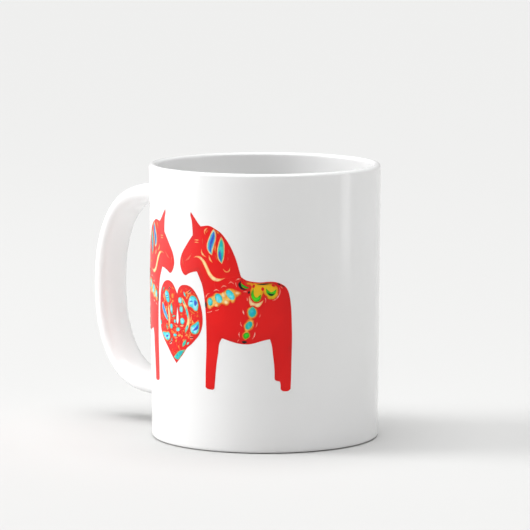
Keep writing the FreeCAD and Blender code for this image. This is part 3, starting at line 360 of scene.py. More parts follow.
def new_piece(name, points, faces, slot, material, *nodes):
    """A piece of the mug, in millimetres, that rides on the only body and stands for CAD nodes."""
    mesh = bpy.data.meshes.new(name)
    mesh.from_pydata([tuple(value * MM for value in point) for point in points], [], faces)
    mesh.validate()
    mesh.update()
    mesh.shade_smooth()
    mesh.materials.append(material)
    piece = bpy.data.objects.new(name, mesh)
    bpy.context.scene.collection.objects.link(piece)
    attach(piece, "root")
    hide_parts(*nodes)
    return piece


def arc(centre, radius, start, end, steps):
    """Points of (radius, height) about centre, from one angle to another, in degrees."""
    angles = np.radians(np.linspace(start, end, steps + 1))
    return [(centre[0] + radius * cos(angle), centre[1] + radius * sin(angle)) for angle in angles]


def between(start, end, steps):
    """Points on the straight line from start to end, without its ends."""
    shares = [index / steps for index in range(1, steps)]
    return [tuple(a + (b - a) * share for a, b in zip(start, end)) for share in shares]


def lathe(profile):
    """Points and faces of a profile of (radius, height) turned about the axis.

    Where the profile is on the axis, the turned faces are triangles."""
    points, rings, faces = [], [], []
    for radius, height in profile:
        if radius < ON_AXIS:
            rings.append([len(points)] * ROUND_SEGMENTS)
            points.append((0, 0, height))
            continue
        rings.append(list(range(len(points), len(points) + ROUND_SEGMENTS)))
        for index in range(ROUND_SEGMENTS):
            angle = 2 * pi * index / ROUND_SEGMENTS
            points.append((radius * cos(angle), radius * sin(angle), height))
    for low, high in zip(rings, rings[1:]):
        for index in range(ROUND_SEGMENTS):
            following = (index + 1) % ROUND_SEGMENTS
            corners = [low[index], low[following], high[following], high[index]]
            faces.append(tuple(dict.fromkeys(corners)))
    return points, faces


def cup_sides(skin, lowest):
    """The outer and the inner side of the cup, set in by skin, from lowest to the lip's middle."""
    corner = (BASE_RADIUS - CORNER_RADIUS, CORNER_RADIUS)
    lip = (RIM_RADIUS - WALL / 2, HEIGHT - WALL / 2)
    fillet_height = FLOOR_TOP + FLOOR_FILLET
    fillet = (inside_radius(fillet_height) - FLOOR_FILLET, fillet_height)
    corner_radius = CORNER_RADIUS - skin
    start = -90 if lowest <= skin else -degrees(asin((CORNER_RADIUS - lowest) / corner_radius))
    outer = arc(corner, corner_radius, start, 0, CORNER_STEPS)
    lip_outside = arc(lip, WALL / 2 - skin, 0, 90, CORNER_STEPS)
    outer += between(outer[-1], lip_outside[0], WALL_STEPS) + lip_outside
    lip_inside = arc(lip, WALL / 2 - skin, 90, 180, CORNER_STEPS)
    rounding = arc(fillet, FLOOR_FILLET + skin, 0, -90, FILLET_STEPS)
    inner = lip_inside + between(lip_inside[-1], rounding[0], WALL_STEPS) + rounding
    middle = (0, FLOOR_TOP - skin)
    inner += between(rounding[-1], middle, 8) + [middle]
    return outer, inner


def make_clay():
    """The bare clay cup. Only its foot ring shows."""
    outer, inner = cup_sides(GLAZE, 0)
    recess = (RECESS_RADIUS + GLAZE, RECESS_DEPTH + GLAZE)
    foot = [(0, recess[1])] + between((0, recess[1]), recess, 6) + [recess]
    foot += arc((FOOT_INNER_RADIUS + FOOT_INNER_ROUNDING, FOOT_INNER_ROUNDING), FOOT_INNER_ROUNDING,
                180, 270, 4)
    foot += arc((FOOT_OUTER_RADIUS - FOOT_OUTER_ROUNDING, FOOT_OUTER_ROUNDING), FOOT_OUTER_ROUNDING,
                270, 360, 3)
    points, faces = lathe(foot + outer + inner[1:])
    new_piece("clay_cup", points, faces, "clay", CLAY, "cup_body")


def make_coats():
    """The glaze on the cup, as one coat inside and out, and the one in the recess under the floor."""
    outer, inner = cup_sides(0, GLAZE_START)
    bare_outer, bare_inner = cup_sides(COAT_DEPTH, GLAZE_START)
    coat = outer + inner[1:] + bare_inner[:0:-1] + bare_outer[::-1]
    points, faces = lathe(coat)
    seam = len(points) - ROUND_SEGMENTS
    for index in range(ROUND_SEGMENTS):
        following = (index + 1) % ROUND_SEGMENTS
        faces.append((seam + index, seam + following, following, index))
    new_piece("glaze_on_cup", points, faces, "white_glaze", GLAZE_WHITE, "outer_glaze", "inner_glaze")
    ceiling = RECESS_DEPTH + COAT_DEPTH
    edge = (RECESS_RADIUS + 0.6, RECESS_DEPTH - 0.9)
    corner = arc((RECESS_RADIUS - RECESS_CORNER, RECESS_DEPTH - RECESS_CORNER), RECESS_CORNER, 90, 20, 6)
    below = [(0, RECESS_DEPTH)] + between((0, RECESS_DEPTH), corner[0], 6) + corner + [edge]
    above = [(RECESS_RADIUS + 0.75, RECESS_DEPTH - 0.85), (RECESS_RADIUS + 0.1, ceiling), (0, ceiling)]
    points, faces = lathe(below + above)
    new_piece("glaze_under_floor", points, faces, "white_glaze", GLAZE_WHITE, "base_glaze")


def handle_point(turn):
    """A point on the handle's middle line, as (distance from the cup's axis, height)."""
    across, up = (2 / power for power in HANDLE_POWERS)
    reach = HANDLE_ROOT + HANDLE_REACH * abs(cos(turn)) ** across
    return reach, HANDLE_MIDDLE + HANDLE_HALF_HEIGHT * signed_power(sin(turn), up)


def section_points(turn):
    """The handle's section, as (sideways, outwards) and its unit normal, anticlockwise."""
    flare = HANDLE_END_FLARE * abs(sin(turn)) ** HANDLE_FLARE_POWER
    power = HANDLE_SECTION_POWER
    points = []
    for index in range(SECTION_POINTS):
        angle = 2 * pi * index / SECTION_POINTS
        side = (HANDLE_HALF_WIDTH + flare) * signed_power(cos(angle), 2 / power)
        out = HANDLE_HALF_THICKNESS * signed_power(sin(angle), 2 / power)
        normal = Vector((signed_power(side / (HANDLE_HALF_WIDTH + flare), power - 1) / HANDLE_HALF_WIDTH,
                         signed_power(out / HANDLE_HALF_THICKNESS, power - 1) / HANDLE_HALF_THICKNESS))
        points.append((side, out, normal.normalized()))
    return points


def root_rings(turn):
    """Rings of the rounding between the handle's end and the wall, from the handle to the wall."""
    level = handle_point(turn)[1]
    sign = copysign(1, -turn)
    rings = []
    for step in range(FILLET_RINGS + 1):
        angle = pi / 2 * step / FILLET_RINGS
        spread = ROOT_FILLET * (1 - cos(angle))
        gap = ROOT_FILLET * (1 - sin(angle))
        ring = []
        for side, out, normal in section_points(turn):
            y = side + normal.x * spread
            z = level - sign * (out + normal.y * spread)
            ring.append((-(sqrt(wall_radius(z) ** 2 - y * y) + gap), y, z))
        rings.append(ring)
    rings.append([(x + ROOT_BURIAL, y, z) for x, y, z in rings[-1]])
    return rings


def handle_rings():
    """Rings round the handle from its lower end on the wall to its upper end."""
    loop = []
    for index in range(HANDLE_STATIONS):
        place = 2 * index / (HANDLE_STATIONS - 1) - 1
        turn = copysign(pi / 2 * (1 - (1 - abs(place)) ** HANDLE_STATION_POWER), place)
        reach, level = handle_point(turn)
        if reach < RIM_RADIUS + ROOT_FILLET + ROOT_CLEARANCE:
            continue
        before, after = handle_point(turn - SLOPE_STEP), handle_point(turn + SLOPE_STEP)
        slope = Vector((after[0] - before[0], after[1] - before[1])).normalized()
        loop.append([(-(reach + out * slope.y), side, level - out * slope.x)
                     for side, out, normal in section_points(turn)])
    return root_rings(-pi / 2)[::-1] + loop + root_rings(pi / 2)


def make_handle():
    """The glazed handle, whose ends are rounded into the wall."""
    rings = handle_rings()
    points = [point for ring in rings for point in ring]
    faces = []
    for row in range(len(rings) - 1):
        start = row * SECTION_POINTS
        for index in range(SECTION_POINTS):
            following = (index + 1) % SECTION_POINTS
            faces.append((start + index, start + following,
                          start + SECTION_POINTS + following, start + SECTION_POINTS + index))
    faces.append(tuple(range(SECTION_POINTS))[::-1])
    faces.append(tuple(range(len(points) - SECTION_POINTS, len(points))))
    new_piece("glazed_handle", points, faces, "white_glaze", GLAZE_WHITE, "handle_glaze", "handle",
              "lower_slip_joint", "upper_slip_joint")


# ---------------------------------------------------------------- print films

def smooth_run(run, step):
    """Points along the smooth curve through a run, about a step apart, without the last one."""
    knots = np.array(run, float)
    lengths = np.hypot(*np.diff(knots, axis=0).T)
    places = np.concatenate([[0], np.cumsum(lengths)])
    count = len(knots)
    matrix, right = np.eye(count), np.zeros((count, 2))
    for index in range(1, count - 1):
        matrix[index, index - 1] = lengths[index - 1]
        matrix[index, index] = 2 * (lengths[index - 1] + lengths[index])
        matrix[index, index + 1] = lengths[index]
        rise = (knots[index + 1] - knots[index]) / lengths[index]
        right[index] = 6 * (rise - (knots[index] - knots[index - 1]) / lengths[index - 1])
    bends = np.linalg.solve(matrix, right)
    wanted = np.linspace(0, places[-1], max(4, ceil(places[-1] / step)) + 1)[:-1]
    spans = np.clip(np.searchsorted(places, wanted, side="right") - 1, 0, count - 2)
    length = lengths[spans][:, None]
    ahead = (wanted - places[spans])[:, None]
    left = length - ahead
    low, high = bends[spans], bends[spans + 1]
    curve = (low * left ** 3 + high * ahead ** 3) / (6 * length)
    curve += (knots[spans] / length - low * length / 6) * left
    return curve + (knots[spans + 1] / length - high * length / 6) * ahead


def outline_points(outline, step):
    return np.concatenate([smooth_run(run, step) for run in outline])


def stroke(points):
    """The outline of a brush stroke: one side along it and the other side back."""
    left, right = [], []
    for index, (across, height, width) in enumerate(points):
        before = points[max(index - 1, 0)]
        after = points[min(index + 1, len(points) - 1)]
        run = hypot(after[0] - before[0], after[1] - before[1])
        shift_across = -(after[1] - before[1]) / run * width / 2
        shift_up = (after[0] - before[0]) / run * width / 2
        left.append((across + shift_across, height + shift_up))
        right.append((across - shift_across, height - shift_up))
    return [right, left[::-1]]


def bead(across, height, width, tall, tilt):
    """The outline of an oval dab, turned anticlockwise by tilt."""
    turn = radians(tilt)
    points = []
    for index in range(BEAD_POINTS + 1):
        angle = 2 * pi * index / BEAD_POINTS
        x, y = width / 2 * cos(angle), tall / 2 * sin(angle)
        points.append((across + x * cos(turn) - y * sin(turn), height + x * sin(turn) + y * cos(turn)))
    half = BEAD_POINTS // 2
    return [points[:half + 1], points[half:]]


def grown_outline(outline, margin):
    """An anticlockwise outline moved outwards by margin."""
    loop = [point for run in outline for point in run[:-1]]
    moved = []
    for index, (across, height) in enumerate(loop):
        before = loop[index - 1]
        after = loop[(index + 1) % len(loop)]
        run = hypot(after[0] - before[0], after[1] - before[1])
        moved.append((across + (after[1] - before[1]) / run * margin,
                      height - (after[0] - before[0]) / run * margin))
    runs = []
    start = 0
    for run in outline:
        runs.append([moved[index % len(moved)] for index in range(start, start + len(run))])
        start += len(run) - 1
    return runs


def mirrored(outline):
    """The outline on the left horse, run the other way round so that it stays anticlockwise."""
    return [[(2 * MIRROR_LINE - across, height) for across, height in reversed(run)]
            for run in reversed(outline)]


def inside(points, loop):
    """Which flat points lie inside a closed loop of points."""
    x, y = points[:, 0, None], points[:, 1, None]
    ax, ay = loop[:, 0], loop[:, 1]
    bx, by = np.roll(ax, -1), np.roll(ay, -1)
    level = np.where(by == ay, 1e-12, by - ay)
    crossing = ((ay > y) != (by > y)) & (x < (bx - ax) * (y - ay) / level + ax)
    return crossing.sum(axis=1) % 2 == 1


def wrap(flat, level):
    """The wall's points at flat points, out by a number of ink films."""
    angle = ART_TURN + flat[:, 0] / RIM_RADIUS
    radius = BASE_RADIUS + TAPER * flat[:, 1] / HEIGHT + level * INK
    return np.stack([radius * np.sin(angle), -radius * np.cos(angle), flat[:, 1]], axis=1)


def film_mesh(outline, level, hole, detail):
    """Points, faces, normals and depths of one film. A depth is the distance in from the edge."""
    loops = [outline_points(outline, detail)]
    if hole:
        loops.append(outline_points(hole, detail))
    edge = np.concatenate(loops)
    pitch = detail * GRID_PITCH
    low, high = edge.min(axis=0), edge.max(axis=0)
    columns, rows = np.arange(low[0], high[0], pitch), np.arange(low[1], high[1], pitch)
    grid = np.stack(np.meshgrid(columns, rows), -1).reshape(-1, 2)
    gap = np.array([np.hypot(*(edge - point).T).min() for point in grid]) if len(grid) else np.zeros(0)
    grid = grid[gap > pitch * EDGE_CLEARANCE]
    if len(grid):
        within = inside(grid, loops[0])
        if hole:
            within &= ~inside(grid, loops[1])
        grid = grid[within]
    chains = []
    start = 0
    for loop in loops:
        chains.append([start + index for index in range(len(loop))])
        start += len(loop)
    links = [(chain[index - 1], chain[index]) for chain in chains for index in range(len(chain))]
    inputs = [Vector(point) for point in np.concatenate([edge, grid])]
    flat, _, triangles, origins, _, _ = delaunay_2d_cdt(inputs, links, [], 0, MERGE_DISTANCE)
    if len(flat) != len(inputs):
        raise ValueError("an outline crosses itself")
    flat = np.array([tuple(point) for point in flat])
    order = [source[0] for source in origins]
    place = {source: index for index, source in enumerate(order)}
    middles = np.array([flat[list(triangle)].mean(axis=0) for triangle in triangles])
    within = inside(middles, loops[0])
    if hole:
        within &= ~inside(middles, loops[1])
    count = len(flat)
    faces, normals = [], []
    outwards = wrap(flat, 1) - wrap(flat, 0)
    outwards /= np.linalg.norm(outwards, axis=1)[:, None]
    for triangle, kept in zip(triangles, within):
        if not kept:
            continue
        a, b, c = triangle
        turn = np.cross(flat[b] - flat[a], flat[c] - flat[a])
        front = (a, b, c) if turn > 0 else (a, c, b)
        back = tuple(count + index for index in reversed(front))
        faces += [front, back]
        normals += [outwards[index] for index in front]
        normals += [-outwards[index - count] for index in back]
    for chain in chains:
        for index in range(len(chain)):
            a, b = place[chain[index - 1]], place[chain[index]]
            faces.append((a, count + a, count + b, b))
            along = wrap(flat[[b]], level)[0] - wrap(flat[[a]], level)[0]
            sideways = np.cross(along, outwards[a])
            sideways /= np.linalg.norm(sideways)
            normals += [sideways] * 4
    depths = np.array([np.hypot(*(edge - point).T).min() for point in flat])
    points = np.concatenate([wrap(flat, level + 1), wrap(flat, level)])
    return points, faces, normals, np.concatenate([depths, depths])


def make_print(node, films, slot, material, hole=None, detail=DAB_DETAIL):
    """One colour of the print, as a group of films. A film is (level, outline)."""
    points, faces, normals, depths = [], [], [], []
    for level, outline in films:
        start = len(points)
        film = film_mesh(outline, level, hole, detail)
        points += list(film[0])
        faces += [tuple(start + index for index in face) for face in film[1]]
        normals += film[2]
        depths += list(film[3])
    piece = new_piece("print_" + node, points, faces, slot, material, node)
    piece.data.attributes.new("depth", "FLOAT", "POINT").data.foreach_set("value", depths)
    piece.data.normals_split_custom_set([tuple(normal) for normal in normals])


def hatch(across, height, direction, length, count):
    """The six-sided outlines of a hatch's dashes, from its upper side to its lower side."""
    turn = radians(direction)
    tip, shoulder, half = length / 2, length / 4, HATCH_WIDTH / 2
    corners = [(tip, 0), (shoulder, half), (-shoulder, half),
               (-tip, 0), (-shoulder, -half), (shoulder, -half)]
    dashes = []
    for index in range(count):
        drop = (index - (count - 1) / 2) * HATCH_PITCH
        loop = []
        for x, y in corners:
            loop.append((across + x * cos(turn) - (y - drop) * sin(turn),
                         height + x * sin(turn) + (y - drop) * cos(turn)))
        dashes.append([[loop[side - 1], loop[side]] for side in range(len(loop))])
    return dashes


def strokes(lines):
    return [stroke(points) for points in lines]


def beads(dabs):
    return [bead(*dab) for dab in dabs]


def horse_layers():
    """Each colour of the right horse: its name, its level and its outlines. A name may come twice."""
    leaf_halos = [grown_outline(leaf, LEAF_HALO_MARGIN) for leaf in (FRONT_LEAF, BACK_LEAF)]
    return [
        ("horse_silhouette", 0, [HORSE]),
        ("mane_halo", 1, leaf_halos),
        ("bridle_strokes", 1, strokes(BRIDLE_STROKES)),
        ("face_strokes", 1, strokes(FACE_STROKES)),
        ("neck_patches", 1, strokes(NECK_PATCHES)),
        ("harness_band", 1, [HARNESS_BAND]),
        ("girth_band", 1, [GIRTH_BAND]),
        ("saddle_collar", 1, [SADDLE_COLLAR]),
        ("white_dashes", 1, strokes(DASHES)),
        ("saddle", 1, [SADDLE]),
        ("green_leaves", 1, [stroke(SADDLE_END_LEAF)]),
        ("green_leaves", 2, strokes(SADDLE_LEAVES) + [GIRTH_DROP]),
        ("dark_strokes", 1, strokes(EDGE_MARKS + [SADDLE_END_SHADE]) + [bead(*GIRTH_TIP)]),
        ("dark_strokes", 2, [stroke(SADDLE_SEAM)]),
        ("dark_strokes", 3, [stroke(SADDLE_LEAF_SHADE)]),
        ("harness_links", 2, beads(HARNESS_LINKS)),
        ("front_mane_leaf", 2, [FRONT_LEAF]),
        ("back_mane_leaf", 2, [BACK_LEAF]),
        ("harness_beads", 2, beads(HARNESS_BEADS)),
        ("girth_beads", 2, [GIRTH_TOP_BEAD, bead(*GIRTH_BEAD)]),
        ("saddle_spots", 2, beads(SADDLE_SPOTS)),
        ("mane_cores", 3, strokes(LEAF_CORES)),
    ]


def heart_layers():
    """Each colour of the heart, above its red silhouette."""
    flower_halos = [grown_outline(flower, HEART_FLOWER_MARGIN) for flower in HEART_FLOWERS]
    hatches = [hatch(*place) for place in HEART_HATCHES]
    white_dashes = [dash for dashes in hatches for dash in dashes[0::2]]
    dark_dashes = [dash for dashes in hatches for dash in dashes[1::2]]
    return [
        ("heart_flower_halos", 1, flower_halos),
        ("heart_scroll", 1, strokes(HEART_SCROLL)),
        ("heart_beads", 1, beads(HEART_BEADS) + strokes(HEART_STEMS)),
        ("heart_leaf", 1, [stroke(HEART_LEAF)]),
        ("heart_tip_band", 1, [HEART_TIP_BAND, stroke(HEART_TIP_LEAF)]),
        ("heart_patches", 1, strokes(HEART_PATCHES)),
        ("heart_white_dashes", 1, white_dashes),
        ("heart_dark_dashes", 1, dark_dashes),
        ("heart_flowers", 2, HEART_FLOWERS),
        ("heart_scroll_leaves", 2, strokes(HEART_SCROLL_LEAVES)),
        ("heart_flower_cores", 3, strokes(HEART_CORES)),
    ]


# ---------------------------------------------------------------- materials

GLAZE_ROUGHNESS = 0.13
GLAZE_SPECULAR = 0.5
CLAY_ROUGHNESS = 0.85
CLAY_SPECULAR = 0.3
INK_ROUGHNESS = 0.3
INK_SPECULAR = 0.28
BLOTCH_SHARE = 0.8
GLOSS_RIPPLES = (90, 0.000012)
CLAY_RIPPLES = (3000, 0.00006)
NOISE_MIDDLE = (0.3, 0.7)

def linear(red, green, blue):
    """A display colour, 0 to 255, as the linear colour that a shader takes."""
    shares = [value / 255 for value in (red, green, blue)]
    return tuple(share / 12.92 if share <= 0.04045 else ((share + 0.055) / 1.055) ** 2.4
                 for share in shares) + (1.0,)


def link(tree, start, output, end, socket):
    tree.links.new(start.outputs[output], end.inputs[socket])


def noise(tree, scale, detail=2.0):
    """A noise node in the mug's own space, where scale is its features per metre."""
    place = tree.nodes.new("ShaderNodeTexCoord")
    texture = tree.nodes.new("ShaderNodeTexNoise")
    texture.inputs["Scale"].default_value = scale
    texture.inputs["Detail"].default_value = detail
    link(tree, place, "Object", texture, "Vector")
    return texture


def ranged(tree, node, output, source, target):
    """The node's output mapped from one range to another."""
    spread = tree.nodes.new("ShaderNodeMapRange")
    values = zip(("From Min", "From Max", "To Min", "To Max"), source + target)
    for socket, value in values:
        spread.inputs[socket].default_value = value
    link(tree, node, output, spread, "Value")
    return spread


def ramp(tree, node, output, stops):
    """A colour ramp over the stops, which are (place, colour)."""
    colours = tree.nodes.new("ShaderNodeValToRGB")
    steps = colours.color_ramp.elements
    while len(steps) < len(stops):
        steps.new(0.5)
    for step, (place, colour) in zip(steps, stops):
        step.position = place
        step.color = colour
    link(tree, node, output, colours, "Fac")
    return colours


def ripples(tree, shader, scale, height):
    """The slight unevenness of a fired or printed gloss surface, height metres deep."""
    bump = tree.nodes.new("ShaderNodeBump")
    bump.inputs["Distance"].default_value = height
    bump.inputs["Strength"].default_value = 1.0
    link(tree, noise(tree, scale), "Fac", bump, "Height")
    link(tree, bump, "Normal", shader, "Normal")


def gloss_material(name, roughness, specular):
    """A new material, its tree and its shader, whose roughness wanders a little over the surface."""
    material = bpy.data.materials.new(name)
    material.use_nodes = True
    tree = material.node_tree
    shader = tree.nodes["Principled BSDF"]
    shader.inputs["Specular IOR Level"].default_value = specular
    patches = ranged(tree, noise(tree, 60), "Fac", NOISE_MIDDLE, (roughness * 0.85, roughness * 1.15))
    link(tree, patches, "Result", shader, "Roughness")
    return material, tree, shader


def glaze_material():
    """White gloss glaze: nearly even, with faint clouds and shallow ripples."""
    material, tree, shader = gloss_material("white_glaze", GLAZE_ROUGHNESS, GLAZE_SPECULAR)
    clouds = ramp(tree, noise(tree, 35, 3.0), "Fac", [
        (0.3, (0.885, 0.885, 0.88, 1)), (0.7, (0.90, 0.90, 0.90, 1))])
    link(tree, clouds, "Color", shader, "Base Color")
    ripples(tree, shader, *GLOSS_RIPPLES)
    return material


def clay_material():
    """Bare fired clay: matt and grainy, with a few darker specks."""
    material, tree, shader = gloss_material("bare_clay", CLAY_ROUGHNESS, CLAY_SPECULAR)
    grains = ramp(tree, noise(tree, 2500, 4.0), "Fac", [
        (0.25, linear(196, 188, 176)), (0.42, linear(224, 218, 208)), (0.7, linear(238, 234, 226))])
    link(tree, grains, "Color", shader, "Base Color")
    ripples(tree, shader, *CLAY_RIPPLES)
    return material


def ink_material(name, stops, blotches, wander=0.15, pitch=900, cover=(0.47, 0.6)):
    """Brushed ink. Its colour changes from the edge of each dab inwards, and in blotches.

    Both lists of stops are (depth in mm, colour): the main paint's and the blotches'. The blotches
    fade in where the noise rises through cover."""
    material, tree, shader = gloss_material(name, INK_ROUGHNESS, INK_SPECULAR)
    depth = tree.nodes.new("ShaderNodeAttribute")
    depth.attribute_name = "depth"
    shift = ranged(tree, noise(tree, pitch, 3.0), "Fac", NOISE_MIDDLE, (-wander, wander))
    total = tree.nodes.new("ShaderNodeMath")
    total.operation = "ADD"
    tree.links.new(depth.outputs["Fac"], total.inputs[0])
    tree.links.new(shift.outputs["Result"], total.inputs[1])
    paints = []
    for steps in (stops, blotches):
        deepest = steps[-1][0]
        share = ranged(tree, total, "Value", (0.0, deepest), (0.0, 1.0))
        places = [(place / deepest, colour) for place, colour in steps]
        paints.append(ramp(tree, share, "Result", places))
    patches = ranged(tree, noise(tree, pitch * BLOTCH_SHARE, 2.0), "Fac", cover, (0.0, 1.0))
    mix = tree.nodes.new("ShaderNodeMixRGB")
    link(tree, patches, "Result", mix, "Fac")
    link(tree, paints[0], "Color", mix, "Color1")
    link(tree, paints[1], "Color", mix, "Color2")
    link(tree, mix, "Color", shader, "Base Color")
    ripples(tree, shader, *GLOSS_RIPPLES)
    return material


def paint(*steps):
    """Stops from (depth in mm, red, green, blue) with display colours."""
    return [(depth, linear(*colour)) for depth, *colour in steps]


GLAZE_WHITE = glaze_material()
CLAY = clay_material()
RED = ink_material("red_ink", paint((0, 214, 10, 6), (0.8, 226, 1, 0), (4, 230, 0, 0)),
                   paint((0, 216, 22, 10), (0.8, 230, 4, 2), (4, 234, 3, 0)), 1.2, 120)
HEART_RED = ink_material("heart_red_ink", paint((0, 214, 10, 6), (0.8, 226, 1, 0), (4, 230, 0, 0)),
                         paint((0, 216, 22, 10), (1.2, 228, 20, 8), (1.7, 244, 120, 30), (4, 250, 176, 84)),
                         0.4, 1000, (0.56, 0.65))
CREAM = ink_material("cream_ink", paint((0, 246, 150, 80), (0.3, 250, 214, 145), (0.7, 255, 238, 185)),
                     paint((0, 244, 140, 90), (0.3, 250, 200, 150), (0.7, 250, 222, 170)))
SALMON = ink_material("salmon_ink", paint((0, 232, 60, 40), (0.25, 242, 110, 80)),
                      paint((0, 226, 50, 40), (0.25, 236, 90, 70)))
ORANGE = ink_material("orange_ink", paint((0, 220, 60, 16), (0.3, 242, 146, 44), (0.8, 250, 200, 104)),
                      paint((0, 214, 50, 16), (0.3, 238, 110, 30), (0.8, 244, 170, 50)), 0.2, 600)
WHITE = ink_material("white_ink", paint((0, 244, 130, 110), (0.12, 255, 215, 200), (0.2, 255, 245, 238)),
                     paint((0, 240, 110, 95), (0.2, 250, 200, 190)))
YELLOW = ink_material("yellow_ink", paint((0, 206, 60, 6), (0.35, 236, 150, 4), (1.2, 244, 190, 4)),
                      paint((0, 190, 110, 4), (0.35, 214, 168, 4), (1.2, 226, 196, 10)), 0.4, 500)
CYAN = ink_material("cyan_ink", paint((0, 60, 170, 140), (0.3, 40, 205, 215), (1.0, 90, 225, 245)),
                    paint((0, 90, 190, 150), (0.3, 130, 225, 225), (1.0, 170, 232, 250)), 0.25, 700)
TURQUOISE = ink_material("turquoise_ink",
                         paint((0, 110, 186, 130), (0.3, 20, 184, 172), (1.1, 6, 174, 208)),
                         paint((0, 130, 196, 130), (0.3, 60, 206, 170), (1.1, 70, 212, 210)), 0.25, 500)
GREEN = ink_material("green_ink", paint((0, 110, 170, 10), (0.25, 50, 206, 6), (0.6, 84, 226, 10)),
                     paint((0, 30, 120, 20), (0.25, 26, 176, 20), (0.6, 50, 206, 40)), 0.15, 500)
SKY = ink_material("sky_ink", paint((0, 190, 226, 200), (0.3, 60, 180, 220), (0.8, 56, 130, 220)),
                   paint((0, 120, 200, 190), (0.3, 70, 190, 205), (0.8, 110, 120, 210)), 0.2, 600)
BLUE = ink_material("blue_ink", paint((0, 60, 130, 210), (0.3, 48, 84, 206), (0.6, 60, 60, 190)),
                    paint((0, 70, 110, 200), (0.3, 60, 90, 200), (0.6, 50, 110, 200)), 0.15)
DARK = ink_material("dark_ink", paint((0, 12, 30, 16), (0.2, 4, 10, 6)),
                    paint((0, 10, 36, 20), (0.2, 6, 20, 10)))


INKS = {
    "red_ink": RED, "cream_ink": CREAM, "salmon_ink": SALMON, "orange_ink": ORANGE, "white_ink": WHITE,
    "yellow_ink": YELLOW, "cyan_ink": CYAN, "turquoise_ink": TURQUOISE, "green_ink": GREEN,
    "sky_ink": SKY, "blue_ink": BLUE, "dark_ink": DARK,
}
SLOTS = {
    "horse_silhouette": "red_ink", "mane_halo": "cream_ink", "bridle_strokes": "cream_ink",
    "face_strokes": "salmon_ink", "neck_patches": "orange_ink", "harness_band": "orange_ink",
    "harness_links": "cream_ink", "girth_band": "orange_ink", "saddle_collar": "cream_ink",
    "white_dashes": "white_ink", "saddle": "yellow_ink", "front_mane_leaf": "sky_ink",
    "back_mane_leaf": "turquoise_ink", "harness_beads": "cyan_ink", "girth_beads": "turquoise_ink",
    "green_leaves": "green_ink", "saddle_spots": "red_ink", "dark_strokes": "dark_ink",
    "mane_cores": "blue_ink", "heart_silhouette": "red_ink", "heart_flower_halos": "orange_ink",
    "heart_scroll": "cream_ink", "heart_beads": "cyan_ink", "heart_leaf": "sky_ink",
    "heart_tip_band": "turquoise_ink", "heart_patches": "orange_ink", "heart_white_dashes": "white_ink",
    "heart_dark_dashes": "dark_ink", "heart_flowers": "cyan_ink", "heart_scroll_leaves": "cyan_ink",
    "heart_flower_cores": "blue_ink",
}


def make_prints():
    """The heart and both horses, each colour of each as one piece."""
    make_print("heart_silhouette", [(0, HEART)], "red_ink", HEART_RED, HEART_SLIT, SILHOUETTE_DETAIL)
    nodes = {}
    for name, level, outlines in horse_layers():
        nodes.setdefault("right_" + name, []).extend((level, outline) for outline in outlines)
        nodes.setdefault("left_" + name, []).extend((level, mirrored(outline)) for outline in outlines)
    for name, level, outlines in heart_layers():
        nodes[name] = [(level, outline) for outline in outlines]
    for node, films in nodes.items():
        slot = SLOTS[node.removeprefix("right_").removeprefix("left_")]
        detail = SILHOUETTE_DETAIL if node.endswith("horse_silhouette") else DAB_DETAIL
        make_print(node, films, slot, INKS[slot], None, detail)


# ---------------------------------------------------------------- stage, light and camera

CAMERA_AZIMUTH = radians(39.5)
CAMERA_DISTANCE = 1.2836
CAMERA_HEIGHT = 0.2223
CAMERA_PITCH = radians(-7.19)
CAMERA_LENS = 249.75
SENSOR = 36.0
FLOOR_SIZE = 40.0
FLOOR_COLOUR = (0.59, 0.59, 0.585)
WINDOW_STRENGTH = 0.52
WINDOW_SPREAD = 24
CEILING_STRENGTH = 0.85
CEILING_SPREAD = 50
ROOM_STRENGTH = 0.33
FLOOR_ROUGHNESS = 0.8
LONG_PANEL_SIZE = (0.95, 0.24)
LONG_PANEL_RADIANCE = 3.6
EDGE_PANEL_SIZE = (0.095, 0.3)
EDGE_PANEL_RADIANCE = 1.6


def from_camera(right, forward, up):
    """A point in the row frame from distances as the camera sees them, measured from the cup's axis."""
    turn = Vector((cos(CAMERA_AZIMUTH), sin(CAMERA_AZIMUTH), 0)) * right
    ahead = Vector((-sin(CAMERA_AZIMUTH), cos(CAMERA_AZIMUTH), 0)) * forward
    return turn + ahead + Vector((0, 0, up))


def make_camera():
    data = bpy.data.cameras.new("camera")
    data.lens = CAMERA_LENS
    data.sensor_width = SENSOR
    camera = bpy.data.objects.new("camera", data)
    camera.location = from_camera(0, -CAMERA_DISTANCE, CAMERA_HEIGHT)
    camera.rotation_euler = (pi / 2 + CAMERA_PITCH, 0, CAMERA_AZIMUTH)
    bpy.context.scene.collection.objects.link(camera)
    bpy.context.scene.camera = camera


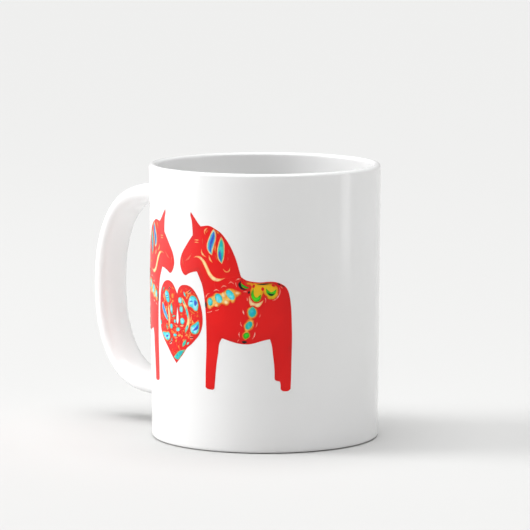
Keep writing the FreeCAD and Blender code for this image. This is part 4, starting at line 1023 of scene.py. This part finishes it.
def make_panel(name, place, target, size, radiance):
    """A soft rectangular light at place that faces target."""
    data = bpy.data.lights.new(name, "AREA")
    data.shape = "RECTANGLE"
    data.size, data.size_y = size
    data.energy = radiance * pi * size[0] * size[1]
    panel = bpy.data.objects.new(name, data)
    panel.location = place
    panel.rotation_euler = (target - place).to_track_quat("-Z", "Y").to_euler()
    bpy.context.scene.collection.objects.link(panel)


def make_sky_light(name, source, strength, spread):
    """A wide distant light from the direction of source. At strength 1 it lights white paper to 1."""
    data = bpy.data.lights.new(name, "SUN")
    data.energy = strength * pi
    data.angle = radians(spread)
    light = bpy.data.objects.new(name, data)
    light.rotation_euler = (-source).to_track_quat("-Z", "Y").to_euler()
    bpy.context.scene.collection.objects.link(light)


def make_stage():
    """A plain pale floor, a window and a long panel on the left, a narrow panel on the right, a soft top."""
    half = FLOOR_SIZE / 2
    mesh = bpy.data.meshes.new("floor")
    mesh.from_pydata([(-half, -half, 0), (half, -half, 0), (half, half, 0), (-half, half, 0)], [],
                     [(0, 1, 2, 3)])
    material = bpy.data.materials.new("floor")
    material.use_nodes = True
    shader = material.node_tree.nodes["Principled BSDF"]
    shader.inputs["Base Color"].default_value = (*FLOOR_COLOUR, 1)
    shader.inputs["Roughness"].default_value = FLOOR_ROUGHNESS
    shader.inputs["Specular IOR Level"].default_value = 0.0
    mesh.materials.append(material)
    floor = bpy.data.objects.new("floor", mesh)
    bpy.context.scene.collection.objects.link(floor)
    make_sky_light("window", from_camera(-1, 0.04, 0.66), WINDOW_STRENGTH, WINDOW_SPREAD)
    make_sky_light("ceiling", from_camera(0, 0, 1), CEILING_STRENGTH, CEILING_SPREAD)
    middle = Vector((0, 0, 0.05))
    make_panel("long_panel", from_camera(-0.8, 0.1, 0.13), middle, LONG_PANEL_SIZE,
               LONG_PANEL_RADIANCE)
    make_panel("edge_panel", from_camera(0.45, -0.045, 0.15), middle, EDGE_PANEL_SIZE,
               EDGE_PANEL_RADIANCE)
    world = bpy.data.worlds.new("room")
    world.use_nodes = True
    world.node_tree.nodes["Background"].inputs["Color"].default_value = (1, 1, 1, 1)
    world.node_tree.nodes["Background"].inputs["Strength"].default_value = ROOM_STRENGTH
    bpy.context.scene.world = world


bpy.context.scene.view_settings.view_transform = "Standard"
make_camera()
make_stage()
make_clay()
make_coats()
make_handle()
make_prints()
